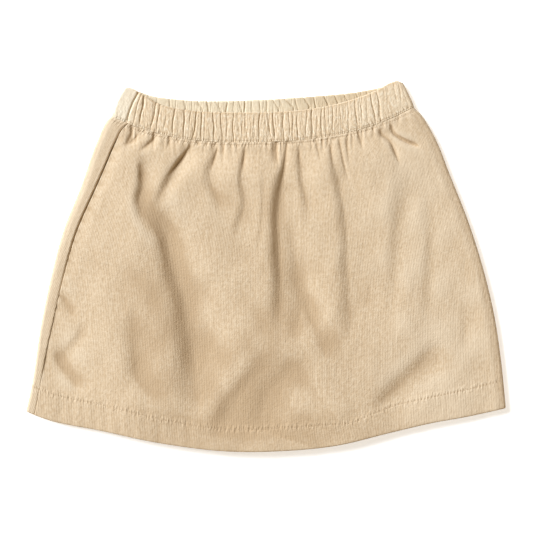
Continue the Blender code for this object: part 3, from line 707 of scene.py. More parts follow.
skirt["folds"] = [
    # the deep one from the left of the waist down to the hem, in two stretches
    fold([(-91.5, 87), (-91.1, 70.5), (-91.5, 60), (-94.1, 49.5), (-92.2, 39), (-87, 28.5), (-81, 18)],
         2.9, 3.8, 9, 0.3, 0.6),
    fold([(-89.2, 59.2), (-85.5, 47.2), (-80.6, 34.5), (-72.8, 19.5), (-68.2, 0.8), (-61.5, -18),
          (-57.8, -36.8), (-54, -55.5), (-51.8, -78), (-49.5, -94.5), (-44.2, -130.5)],
         4.9, 5.8, 12, 0.26, 0.34, widen=2.4),
    fold([(-81, 64.5), (-77.2, 49.5), (-73.5, 36), (-69, 19.5)], 1, 9, 9, 0.5, 0.5),
    fold([(-51, 95.2), (-56.2, 87), (-66.4, 72), (-73.5, 60.8), (-78.8, 49.5), (-79.5, 37.5)],
         2.2, 3.6, 6.5, 0.35, 0.5),
    # gathers that run into the panel
    fold([(-99.8, 108), (-101.2, 96.8), (-104.2, 91.5), (-110.2, 88.5)],
         1.6, 1.5, 3.4, 0.2, 0.5, power=1.4),
    fold([(-94.5, 105), (-96, 97.5), (-102, 91.5), (-105.8, 88.5)], 1.2, 1.2, 2.6, 0.2, 0.5, power=1.4),
    fold([(-83.2, 103.5), (-84.4, 94.5), (-90.8, 88.5), (-96, 84)], 1.7, 1.5, 3.4, 0.2, 0.5, power=1.4),
    fold([(-72, 99), (-73.1, 90), (-75, 85.5)], 1, 1.3, 2.6, 0.2, 0.5, power=1.4),
    fold([(-106.5, 115.5), (-111, 97.5), (-120, 81)], 0.7, 2, 5, 0.2, 0.5),
    fold([(-36, 96), (-36.8, 82.5), (-41.2, 71.2), (-40.5, 60.8), (-35.2, 49.5), (-27.8, 31.5)],
         1.5, 3.2, 7, 0.3, 0.35, widen=1.6),
    fold([(-14.2, 96), (-16.5, 79.5), (-18, 60.8), (-15.4, 48.8), (-18.8, 33), (-24.8, 16.5)],
         1.2, 1.8, 6, 0.3, 0.3, widen=2.2),
    fold([(17.2, 97.5), (15, 73.5), (12, 60.8), (10.5, 49.5), (9.4, 34.5), (9.8, 19.5), (11.2, 0.8),
          (12, -18), (12, -36.8), (16.5, -63)], 3.4, 3.4, 16, 0.26, 0.36, widen=2.2),
    fold([(16.5, 45.8), (21, 19.5), (24.8, -3), (26.2, -25.5), (24.8, -48), (24, -72)],
         1.7, 5, 10, 0.45, 0.4, widen=1.8),
    fold([(27, 96), (26.6, 75), (28.1, 60.8), (30.8, 48.8), (32.2, 30)],
         1.6, 2.6, 8, 0.35, 0.35, widen=1.5),
    fold([(48.8, 96), (52.5, 72.8), (55.5, 60.8), (57.8, 49.5), (60, 34.5), (61.5, 19.5), (61.5, 0.8),
          (63, -18), (63.8, -36.8), (64.5, -64.5)], 2.1, 3.2, 14, 0.22, 0.25, widen=2.3),
    fold([(84, 105), (86.2, 99), (93, 92.2), (98.2, 81.8), (102, 72)], 1, 2, 5, 0.25, 0.5),
    fold([(-0.8, 79.5), (-1.9, 60.8), (-3, 34.5), (-5.2, 18), (-11.2, -3)], 0.4, 1.8, 5, 0.3, 0.4),
    fold([(93.8, 87), (92.2, 60.8), (90, 43.5), (86.2, 15.8)], -0.5, 5, 10, 0.35, 0.5),
    # sharp creases along them and between them
    crease([(-93.8, 78), (-93.4, 58.5)], 0.6, 1, 1.6, 0.2, 0.5),
    crease([(-55.1, 93), (-60.4, 84), (-67.5, 74.6), (-75, 64.5)], 2.2, 0.8, 1.5, 0.4, 0.45),
    crease([(-34.5, 94.5), (-38.2, 81), (-42, 69)], 0.9, 0.9, 1.5, 0.4, 0.5),
    crease([(-15, 94.5), (-16.1, 83.2), (-18.4, 67.5)], 1, 0.8, 1.5, 0.4, 0.5),
    crease([(8.2, 96), (8.2, 82.5), (9.8, 70.5)], 1.2, 2.2, 1.4, 0.12, 0.5),
    crease([(16.1, 95.2), (14.6, 82.5), (12.8, 70.5), (9, 52.5)], 1.1, 1, 1.7, 0.12, 0.6),
    crease([(24.8, 95.2), (24.8, 72)], 0.7, 0.9, 1.4, 0.4, 0.5),
    crease([(36.4, 96.8), (41.6, 75)], 0.6, 0.9, 1.5, 0.12, 0.5),
    crease([(46.9, 97.5), (49.1, 81), (51, 67.5)], 0.8, 0.9, 1.6, 0.4, 0.5),
    crease([(53.6, 99), (58.5, 75), (63, 58.5)], 0.9, 0.9, 1.6, 0.12, 0.5),
    crease([(59.2, 99), (63.4, 67.5)], 0.6, 0.9, 1.6, 0.12, 0.5),
    crease([(68.2, 102), (73.2, 84)], 0.8, 0.9, 1.6, 0.12, 0.5),
    crease([(84, 104.2), (86.2, 99), (92.6, 93), (97.5, 81.8), (100.5, 73.5)], 1.2, 0.9, 1.6, 0.2, 0.4),
    crease([(92.6, 109.5), (95.2, 99.8), (104.2, 93), (116.2, 88.9)], 3.2, 0.9, 1.5, 0.3, 0.25),
    # low swellings of the lower half
    fold([(26.2, -1.5), (33, -29.2), (40.5, -51.8), (50.2, -72), (59.2, -88.5)],
         1.3, 5, 9, 0.4, 0.4, widen=1.4),
    fold([(9.8, -55.5), (-4.5, -76.5), (-13.5, -89.2), (-21, -100.5), (-27.8, -111.8), (-31.5, -134.2)],
         2.3, 10.5, 38, 0.5, 0.25),
    fold([(49.5, -63), (21, -76.5), (12, -87.8), (3, -99), (-1.5, -111), (-3, -134.2)],
         1.5, 10, 34, 0.4, 0.42),
    fold([(136.5, -55.5), (117.8, -72), (99, -90), (75, -115.5)], 1.7, 6.2, 14, 0.3, 0.3),
    fold([(-97.5, -31.5), (-96, -63), (-93.8, -79.5), (-84.8, -94.5), (-70.5, -103.5)],
         1.9, 6, 11, 0.5, 0.5, widen=1.5),
    fold([(121.5, 64.5), (123.8, 19.5), (121.5, -18), (117, -51.8)], 0.9, 5, 8, 0.35, 0.4),
    fold([(106.5, 73.5), (102, 45.8), (98.2, 12), (95.2, -19.5), (89.2, -54)], 0.9, 5.5, 8, 0.35, 0.4),
    fold([(147, -19.5), (150, -48), (148.5, -70.5)], 0.6, 5, 9, 0.4, 0.5),
    fold([(-159, -59.2), (-151.5, -75), (-141.8, -88.5), (-139.5, -99)], 1.3, 3.4, 8, 0.3, 0.35),
    fold([(-171, -48), (-165, -72), (-162, -87)], 0.25, 3, 4, 0.35, 0.4),
    fold([(-135, -39), (-141, -55.5), (-156, -67.5)], 0.6, 2.6, 5, 0.35, 0.5),
    fold([(-154.5, -18), (-145.5, -34.5), (-139.5, -42)], 0.6, 2.6, 5, 0.35, 0.5),
]

# Short gathers below the waistband: place across, lean over their length, length, depth, width
skirt["puckers"] = table("x lean length depth width", [
    (-106.0, -5.0, 12, 0.42, 1.3), (-90.0, -2.5, 9, 0.51, 1.2), (-80.5, -3.0, 12, 0.34, 1.4),
    (-73.0, -3.0, 16, 0.34, 1.8), (-66.0, -1.5, 9, 0.42, 1.3), (-50.5, -2.0, 9, 0.51, 1.4),
    (-44.3, -1.0, 9, 0.59, 1.3), (-36.8, -5.0, 16, 0.85, 1.6), (-32.5, 1.0, 12, 0.51, 1.4),
    (-26.4, 1.0, 10, 0.68, 1.2), (-21.0, 0.5, 7, 0.34, 1.0), (-11.6, 2.5, 9, 0.51, 1.2),
    (-6.0, 0.0, 7, 0.34, 1.2), (0.5, 0.5, 7, 0.42, 1.1), (8.2, -1.0, 14, 0.77, 2.0),
    (19.5, 0.0, 8, 0.42, 1.1), (26.0, 0.5, 9, 0.51, 1.2), (31.0, 1.5, 10, 0.42, 1.3),
    (37.0, 3.0, 14, 0.59, 1.7), (43.0, 0.5, 9, 0.42, 1.2), (51.8, 1.0, 10, 0.42, 1.3),
    (68.4, 3.5, 14, 0.59, 1.3), (75.5, 2.0, 8, 0.34, 1.1), (98.0, 3.0, 11, 0.42, 1.1),
    (103.0, 4.0, 12, 0.34, 1.2),
])

skirt["fineGathers"] = {"count": 96, "depth": (0.3, 0.8), "length": (7.0, 26.0), "width": (0.6, 1.1),
                        "lean": 0.8, "left": -106.0, "right": 100.0, "seed": 11}

# Low swells of the whole panel: wavelength, direction, height, phase
skirt["swells"] = table("length angle height phase", [
    (74, 20, 0.20, 0.4), (53, 160, 0.16, 2.1), (38, 75, 0.10, 4.0), (31, 10, 0.09, 1.2),
    (24, 140, 0.06, 5.1), (19, 35, 0.04, 0.9),
])

# Painted shade (less than 0) or painted light over soft leaning areas: middle, radii, lean, and how much
skirt["napAreas"] = table("x y across along lean shade", [
    (10, -62, 55, 26, 0, -0.26), (-27, -108, 36, 26, 0, -0.30), (-78, -70, 24, 40, 0, -0.22),
    (-96, -100, 30, 22, 0, -0.14), (-88, -28, 24, 30, 0, -0.32), (14, 40, 15, 55, 0, -0.10),
    (22, -28, 26, 34, 0, -0.08), (-68, -15, 13, 46, -0.22, -0.5), (-20, 20, 45, 60, 0, -0.10),
    (8, -122, 62, 15, 0, -0.36), (118, 30, 45, 85, 0, 0.24), (142, -70, 36, 52, 0, 0.28),
    (132, -108, 45, 20, 0, 0.22), (-135, -75, 35, 40, 0, 0.06), (105.2, 94.0, 1.8, 4.2, -2.0, -0.8),
    (-22, -98, 34, 16, 0, -0.14), (14, -58, 30, 16, 0, -0.34), (104, 62, 26, 26, 0, 0.16),
    (6, 22, 6, 42, 0, -0.3), (-86, 52, 7, 11, 0.2, -0.3), (-70, 0, 6, 24, -0.3, -0.3),
])


def napAreas(x, y, areas):
    # the sum of soft leaning ellipses of painted shade and light, shade * exp(-(dx / across)^2 - (dy /
    # along)^2)
    up = y[..., None] - areas["y"]
    away = ((x[..., None] - areas["x"] - areas["lean"] * up) / areas["across"]) ** 2
    return (areas["shade"] * np.exp(-away - (up / areas["along"]) ** 2)).sum(-1)


def skirtRows():
    # down the cloth, half a turn round the hem's edge, and back up inside it: the fall of each
    # row before the hem's depth is fitted, and the angle by which the sheet has turned
    edge = garment["sideLength"] - hemRadius
    turning = np.linspace(0, math.pi, 9)[1:-1]
    inside = np.linspace(edge, hemLine + 1.0, 9)
    fall = np.concatenate([gradedSteps(skirt["rowPitch"]), np.full(7, edge), inside])
    turn = np.concatenate([np.zeros(len(fall) - 16), turning, np.full(9, math.pi)])
    return fall[:, None], turn[:, None]


def fittedFall(fall, share):
    # rows slide so that one of them follows the hem's stitches, whose height changes across
    length = garment["sideLength"]
    depth = smoothTable(skirt["hemDepths"])(np.clip(share, 0, 1))
    above = fall + (skirt["hemDepth"] - depth) * ease(fall, 100, hemLine)
    below = length - (length - fall) * depth / skirt["hemDepth"]
    return np.where(fall < hemLine, above, below)


def crownRelief(x, y, fall):
    # the front rises over the inner shorts: full height between four eased sides
    crown = skirt["crown"]
    across = ease(x, *crown["left"]) * (1 - (1 - crown["atRight"]) * ease(x, *crown["right"]))
    lower = crown["atHem"] + (1 - crown["atHem"]) * ease(y, *crown["bottom"])
    return crown["height"] * across * ease(fall, *crown["top"]) * lower


def swellRelief(x, y, swells):
    # the sum of a few sine waves, each along its own direction
    angle = np.radians(swells["angle"])
    place = x[..., None] * np.cos(angle) + y[..., None] * np.sin(angle)
    return (swells["height"] * np.sin(2 * math.pi * place / swells["length"] + swells["phase"])).sum(-1)


def puckerRelief(x, fall, puckers):
    # troughs -depth * exp(-(distance / width)^2) that lean, and ease out along their length
    along = np.maximum(fall, 0)[..., None] / puckers["length"]
    distance = x[..., None] - puckers["x"] - puckers["lean"] * along
    shape = bell(distance, puckers["width"] * (1 + along))
    return -(puckers["depth"] * shape * (1 - ease(along, 0.1, 1))).sum(-1)


def fineGathers():
    # short gathers at uneven places between the ones of the table
    given = skirt["fineGathers"]
    draw = np.random.default_rng(given["seed"])
    spots = (np.arange(given["count"]) + draw.uniform(0.1, 0.9, given["count"])) / given["count"]
    gathers = {"x": given["left"] + (given["right"] - given["left"]) * spots,
               "lean": draw.normal(0, given["lean"], given["count"])}
    for label in ("depth", "length", "width"):
        gathers[label] = draw.uniform(*given[label], given["count"])
    return gathers


def seamDitch(nominal):
    # the left seam's depth, which starts low at the waist and lessens towards the hem
    roll = skirt["seamRoll"]
    begun = roll["atWaist"] + (1 - roll["atWaist"]) * ease(nominal, *roll["wholeOver"])
    return roll["ditch"] * (1 - roll["lost"] * ease(nominal, *roll["lostOver"])) * begun


def lowestRelief(x, y, nominal):
    # over the inner shorts, beside them, or at the hem
    limits = skirt["limits"]
    reach = skirt["shortsReach"]
    over = (1 - ease(np.abs(x), *reach["beside"])) * ease(y, *reach["bottom"])
    low = limits["beside"] + (limits["overShorts"] - limits["beside"]) * over
    return low + (limits["atHem"] - low) * ease(nominal, hemLine - skirt["hemward"], hemLine)


def unevenWave(place, given):
    # height * sin(2 pi place / length + much * sin(place / slow))
    much, slow = given["uneven"]
    return given["height"] * np.sin(2 * math.pi * place / given["length"] + much * np.sin(place / slow))


def hemRippling(x, share, fromHem):
    # uneven waves along the hem's stitches, over a stretch at the left
    given = skirt["hemRipple"]
    stretch = ease(share, given["left"], given["left"] + given["leftFade"])
    stretch = stretch * (1 - ease(share, given["right"] - given["rightFade"], given["right"]))
    return unevenWave(x, given) * stretch * ease(fromHem, *given["over"])


def skirtRelief(x, y, share, fall, nominal, width):
    # crown, folds, swells and gathers between their limits, then the ripples and the ditch of the
    # left seam, the ditches of the stitches, and the hem's step and ripples
    gathers = puckerRelief(x, fall, skirt["puckers"]) + puckerRelief(x, fall, fineGathers())
    gathers += skirt["gatherLift"]["height"] * (1 - ease(fall, *skirt["gatherLift"]["until"]))
    atSeam = skirt["gathersAtSeam"]
    relief = crownRelief(x, y, fall) + foldRelief(x, y, skirt["folds"]) + swellRelief(x, y, skirt["swells"])
    relief += gathers * (atSeam + (1 - atSeam) * ease(fall, *skirt["gathersOver"]))
    low = lowestRelief(x, y, nominal)
    relief = heldWithin(relief, low, skirt["limits"]["high"]) * ease(fall, *skirt["startOver"])
    aside = width * share - smoothTable(garment["leftSeamInset"])(nominal / garment["sideLength"])
    ripple = skirt["seamRipple"]
    relief += unevenWave(fall, ripple) * bell(aside, ripple["reach"]) * (1 - ease(nominal, *ripple["fade"]))
    relief -= seamDitch(nominal) * bell(aside, skirt["seamRoll"]["gentle"])
    ditch = skirt["waistDitch"]
    relief -= ditch["depth"] * bell(fall - skirt["waistRow"], ditch["width"])
    fromHem = nominal - hemLine
    step = skirt["hemStep"]["height"] * ease(fromHem, *skirt["hemStep"]["over"])
    relief += step - skirt["hemDitch"]["depth"] * bell(fromHem, skirt["hemDitch"]["width"])
    return relief + hemRippling(x, share, fromHem)


def stripRelief(nominal, fall, aside):
    # the back's strip at the left: its rise beside the seam, less the seam's ditch
    strip = skirt["strip"]
    rise = strip["rise"] * ease(aside, *strip["within"]) * ease(fall, *strip["startOver"])
    ditch = seamDitch(nominal) * bell(aside, skirt["seamRoll"]["steep"])
    return rise * (1 - ease(nominal, *strip["endOver"])) - ditch


def skirtUv(surface, nominal, rowFall, waistRow, hemRow):
    # centimetres on the flat cut: wales run down the middle, so the gathered waist is squeezed;
    # and beside the nearest row of stitches, whose length sets the place along it
    along = clothLength(surface, 1)
    share = along / along[:, -1:] - 0.5
    low, high = skirt["cutWidths"]
    across = share * (low + (high - low) * nominal / garment["sideLength"])
    beside = np.where(nominal < 40, along[waistRow] * skirt["hemPitch"], along[hemRow])
    rows = np.stack([beside, rowFall], axis=-1)
    return np.stack([across, np.broadcast_to(nominal, across.shape)], axis=-1) / 10, rows / 10


def nearestRow(fall, nominal):
    # distance to the closest row of stitches, across the cloth
    lines = np.stack([nominal - skirt["waistRow"], nominal - hemLine])
    closest = np.abs(lines).argmin(axis=0)
    return np.take_along_axis(lines, closest[None], axis=0)[0] + np.zeros_like(fall)


def makeSkirtPanel(name, front):
    # one panel from seam to seam, round the side fold, with its hem turned up inside
    nominal, turn = skirtRows()
    width = layerWidth("skirt", nominal / garment["sideLength"])
    inset = smoothTable(garment["leftSeamInset"])(nominal / garment["sideLength"])
    gap = garment["seamGap"] / 2
    gaps = (gap * (1 - skirt["leftGap"]["lost"] * ease(nominal, *skirt["leftGap"]["over"])), gap)
    share, lift = halfTube("skirt", width, skirt, inset, garment["rightSeamInset"], gaps, front)
    fall = fittedFall(nominal, share)
    drop = fall / garment["sideLength"]
    place = tubePoint("skirt", share, drop, lift)
    x = place[..., 0]
    y = place[..., 1]
    onTop = np.clip(lift, 0, 1)
    if front:
        relief = skirtRelief(x, y, share, fall, nominal, width)
        relief = relief * onTop * ease(width * (1 - share), *skirt["frontEdge"])
    else:
        relief = stripRelief(nominal, fall, inset - width * share) * onTop
        relief = relief * ease(width * share, *skirt["backEdge"])
        ditch = skirt["hemDitch"]
        relief = relief - ditch["backDepth"] * bell(nominal - hemLine, ditch["width"]) * onTop
    turn = np.broadcast_to(turn, share.shape)
    tucked = 1 - ease(fall, *skirt["tuck"]["over"])
    offset = 0.6 - garment["corduroy"] / 2 - hemRadius * (1 - np.cos(turn)) - skirt["tuck"]["deep"] * tucked
    waistLift = skirt["waistLift"]
    offset = offset + waistLift["height"] * (1 - ease(fall, *waistLift["over"])) * onTop
    thickness = garment["corduroy"] - skirt["tuck"]["thin"] * tucked
    outer, inner = clothWall("skirt", share, drop, lift, turn, offset, hemRadius * np.sin(turn),
                             np.zeros_like(share), relief, thickness)
    waistRow = np.abs(nominal[:, 0] - skirt["waistRow"]).argmin()
    hemRow = np.abs(nominal[:-16, 0] - hemLine).argmin()
    cut, rows = skirtUv(outer, nominal, nearestRow(fall, nominal), waistRow, hemRow)
    # painted shade in hollows, and wear with painted light on ridges
    worn = wornRidges(relief, 18, skirt["wornGain"])
    paleFold = skirt["paleFold"]
    paleSeam = skirt["paleSeam"]
    # painted light on the left fold
    worn += paleFold["gain"] * (1 - ease(width * share, *paleFold["over"])) * onTop
    paler = paleSeam["gain"] * (1 - ease(fall, *paleSeam["over"]))
    # painted shade and painted light over the listed areas, and a paler strip between the waist's rows
    worn += (napAreas(x, y, skirt["napAreas"]) + paler) * onTop
    piece = clothShell(name, outer, inner, [skirtCloth, insideCloth], cut, rows, worn)
    return piece, {"waistLower": outer[waistRow], "hem": outer[hemRow]}


skirtFront, frontLines = makeSkirtPanel("skirtFront", True)
skirtBack, backLines = makeSkirtPanel("skirtBack", False)
for panel, node, below in ((skirtFront, "skirt_front", "shorts_left"), (skirtBack, "skirt_back", "floor")):
    dress(panel, "corduroy", node)
print("skirt panels ready")


band = {
    "columns": {"top": 920, "turn": 12, "below": 15},
    "backColumns": {"top": 40, "turn": 12, "below": 701},
    "wall": 2.4,                 # of the folded casing with its elastic
    "footLift": 0.16,            # of the outer ply, over the skirt's upper edge
    "height": 21.0,
    "overlap": 1.12,             # of its foot over the skirt's upper edge
    "stitchDrop": 0.992,         # of the upper row of stitches
    "plyRows": 28,
    "insideRows": 12,
    "backInsideRows": 22,
    "turnRows": 8,
    "cut": (290.0, 48.0),
    "bulge": 0.2,                # of the outer ply between its edge and the seam
    "puff": 0.15,
    "fullness": {"over": (-0.12, 0.12), "lost": 0.6, "lostOver": (0.8, 1.0)},
    "gathered": {"over": (0.3, 3.5), "lost": 0.7, "lostOver": (88.0, 96.0)},
    "rightEdge": (0.5, 4.0),
    "wornGain": 0.7,             # how much paler a ridge and darker a hollow is, for each millimetre: painted shade in hollows, wear and painted light on ridges
    # painted light: the band's left end much paler, and its right half a little
    "paleEnds": {"gain": 0.85, "over": (4.0, 16.0), "right": 0.15, "rightOver": (0.55, 0.9)},
    # painted shade of the front's top edge, and of the back's inside towards the right
    "edgeShade": {"gain": 0.4, "until": (0.02, 0.09), "outside": (0.05, 0.3)},
    "insideShade": {"gain": 0.38, "over": (-20.0, 50.0)},
    # how far a crease pulls the top edge down, for each of its depth
    "edgeDip": {"share": 0.3, "until": (0.1, 0.4)},
    "creaseScale": (0.62, 0.5),  # of the listed depths and widths
    "deepest": 1.3,
    "creaseBend": 0.35,          # how far a crease strays from its straight line
    # drops over which one starts, and those by which it stops before and past its end
    "creaseEnds": (0.1, 0.15, 0.05),
    "fineCreases": {"count": 190, "depth": 0.42, "width": 0.6, "seed": 5, "front": (-92.0, 96.0),
                    "back": (-96.0, 96.0), "backShare": 0.8},
    "innerShare": 0.35,          # of the front's creases, on its inner ply
    "backCreaseScale": 1.3,
    "backCreaseReach": 0.35,     # the drop at which the back's creases stop leaning
    "seamDitch": {"depth": 0.9, "width": 0.8, "backDepth": 0.8, "backWidth": 0.9},
    "rowDitch": {"depth": 0.1, "width": 0.5},
    "foot": (0.62, 1.0),         # drops over which the outer ply climbs and thins
    "thinFoot": 0.45,            # share of the ply that it loses there, over the skirt's edge
}

# Creases of the gathered casing: x at the top edge and at the seam, depth, half width, and the
# drops between which each shows
band["creases"] = table("top foot depth width start end", [
    (-91.0, -94.4, 1.9, 1.0, 0, 1), (-93.2, -99.5, 0.9, 0.7, 0, 1), (-81.7, -86.2, 1.3, 1.0, 0, 1),
    (-79.2, -81.6, 1.2, 0.9, 0, 1), (-77.0, -79.0, 0.5, 0.8, 0.2, 0.8), (-73.5, -76.5, 0.5, 1.0, 0.35, 1),
    (-68.2, -69.9, 1.4, 0.9, 0, 1), (-64.5, -66.0, 0.4, 1.1, 0.3, 1), (-61.0, -61.2, 1.6, 0.9, 0, 1),
    (-56.0, -57.6, 0.5, 0.7, 0, 0.5), (-51.4, -54.3, 1.5, 0.9, 0, 1), (-48.2, -48.1, 1.6, 0.7, 0, 1),
    (-45.6, -46.0, 0.5, 0.6, 0.1, 0.8), (-39.4, -38.6, 1.4, 0.8, 0, 1), (-36.6, -36.0, 0.4, 0.7, 0, 0.6),
    (-33.5, -32.7, 1.2, 0.8, 0, 1), (-29.3, -29.0, 0.8, 0.9, 0, 1), (-24.4, -24.3, 1.3, 0.8, 0, 1),
    (-21.0, -20.6, 0.4, 0.8, 0, 0.7), (-18.0, -17.6, 0.4, 0.7, 0.3, 1), (-15.5, -14.0, 0.8, 0.9, 0, 1),
    (-11.5, -11.0, 0.5, 0.7, 0.1, 0.8), (-9.0, -9.0, 0.7, 0.7, 0.2, 1), (-4.4, -5.5, 1.5, 0.9, 0, 1),
    (-1.0, 0.4, 0.4, 0.8, 0, 0.6), (0.9, 4.2, 1.1, 1.0, 0, 1), (5.4, 6.5, 1.7, 1.0, 0, 1),
    (9.0, 9.5, 0.4, 0.8, 0, 0.6), (12.7, 13.5, 1.3, 0.9, 0, 1), (17.5, 17.6, 0.9, 0.8, 0, 1),
    (20.0, 20.2, 1.0, 0.8, 0.1, 1), (23.4, 23.6, 1.1, 0.8, 0.2, 1), (27.0, 27.4, 0.4, 0.8, 0, 0.6),
    (30.7, 30.0, 1.0, 0.8, 0, 1), (34.4, 34.4, 1.5, 0.9, 0, 1), (38.0, 38.4, 0.5, 0.7, 0.2, 1),
    (41.2, 42.0, 1.0, 0.8, 0, 1), (44.3, 45.0, 0.9, 0.8, 0, 1), (49.7, 50.2, 1.1, 0.8, 0, 1),
    (52.8, 53.6, 0.6, 0.7, 0, 0.7), (55.5, 56.3, 0.6, 0.7, 0.1, 1), (61.0, 62.2, 0.6, 0.8, 0, 1),
    (66.3, 68.5, 0.9, 0.8, 0, 1), (70.3, 72.0, 0.6, 0.7, 0, 0.8), (74.6, 76.4, 0.5, 0.7, 0, 0.9),
    (78.2, 82.0, 1.5, 0.8, 0, 1), (82.8, 86.4, 1.1, 0.9, 0, 1), (89.5, 92.5, 0.3, 0.8, 0.2, 1),
    (95.6, 98.6, 0.6, 0.9, 0, 0.7), (98.6, 102.6, 0.5, 0.8, 0, 0.8), (101.0, 106.5, 0.6, 0.8, 0.1, 0.9),
])

# Leaning creases inside the back, from its top edge down to 0.35 of its height
band["backCreases"] = table("top low depth width", [
    (-96.0, -96.5, 0.7, 0.9), (-88.0, -89.0, 0.6, 0.8), (-81.0, -81.5, 0.6, 0.8), (-72.5, -72.0, 0.9, 0.8),
    (-67.0, -67.0, 0.5, 0.8), (-61.0, -60.5, 0.8, 0.8), (-56.0, -55.0, 0.5, 0.7), (-51.0, -47.3, 0.9, 0.8),
    (-43.9, -43.5, 1.2, 0.8), (-41.0, -41.0, 0.5, 0.7), (-37.5, -33.5, 0.9, 0.8), (-28.9, -30.0, 1.2, 0.8),
    (-24.0, -24.0, 0.4, 0.8), (-20.0, -18.5, 0.6, 0.8), (-15.9, -16.1, 1.0, 0.8), (-10.5, -10.0, 0.4, 0.8),
    (-5.0, -4.4, 0.5, 0.9), (0.0, 0.4, 0.4, 0.8), (5.2, 9.4, 1.0, 0.8), (9.6, 13.0, 0.4, 0.7),
    (13.1, 21.0, 1.3, 0.9), (22.0, 23.5, 0.7, 0.8), (27.8, 32.3, 1.2, 0.9), (35.6, 37.5, 1.1, 0.8),
    (43.9, 46.5, 1.1, 0.9), (51.0, 54.0, 1.1, 0.8), (58.5, 62.5, 0.9, 0.9), (67.7, 69.0, 0.9, 0.8),
    (75.0, 76.5, 0.7, 0.8), (83.0, 85.0, 0.7, 0.8), (91.0, 93.0, 0.6, 0.8),
])


def casingRows(insideRows):
    # up the inside of the casing, half a turn over its top and down the outside: the fall from
    # the top edge and the angle by which the sheet's normal is turned
    radius = (band["wall"] - garment["bandPly"]) / 2
    turning = np.linspace(-math.pi, 0, band["turnRows"] + 1)[1:-1]
    down = radius + (band["height"] + band["overlap"] - radius) * np.linspace(0, 1, band["plyRows"])
    up = radius + (band["height"] - radius) * np.linspace(1, 0, insideRows)
    fall = np.concatenate([up, np.full(len(turning), radius), down])
    turn = np.concatenate([np.full(insideRows, -math.pi), turning, np.zeros(band["plyRows"])])
    return fall[:, None], turn[:, None], radius


def creaseRelief(x, drop, creases):
    # sharp troughs -depth * exp(-(distance / width)^1.25) along slightly bent lines
    low = creases.get("foot", creases.get("low"))
    reach = 1.0 if "foot" in creases else band["backCreaseReach"]
    k = np.minimum(drop[..., None] / reach, 1)
    line = creases["top"] + (low - creases["top"]) * k
    line = line + band["creaseBend"] * np.sin(2 * math.pi * drop[..., None] + 2.3 * np.arange(len(low)))
    depth, width = band["creaseScale"]
    away = np.abs(x[..., None] - line) / (creases["width"] * width)
    shape = creases["depth"] * depth * np.exp(-(away**1.25))
    if "start" in creases:
        until = np.where(creases["end"] > 0.99, 2.0, creases["end"])
        begin = np.where(creases["start"] < 0.01, -1.0, creases["start"])
        starting, before, past = band["creaseEnds"]
        shape = shape * ease(drop[..., None], begin - starting, begin + starting)
        shape = shape * (1 - ease(drop[..., None], until - before, until + past))
    return -np.minimum(shape.sum(-1), band["deepest"])


def fineCreases(low, high):
    # shallow creases at uneven places, some of them over a part of the height only
    given = band["fineCreases"]
    draw = np.random.default_rng(given["seed"])
    top = np.sort(draw.uniform(low, high, given["count"]))
    start = draw.uniform(-0.3, 0.5, given["count"])
    return {
        "top": top, "foot": top + draw.normal(0, 1.0, given["count"]),
        "depth": given["depth"] * draw.uniform(0.3, 1.0, given["count"]),
        "width": given["width"] * draw.uniform(0.7, 1.5, given["count"]),
        "start": start, "end": start + draw.uniform(0.4, 1.2, given["count"]),
    }


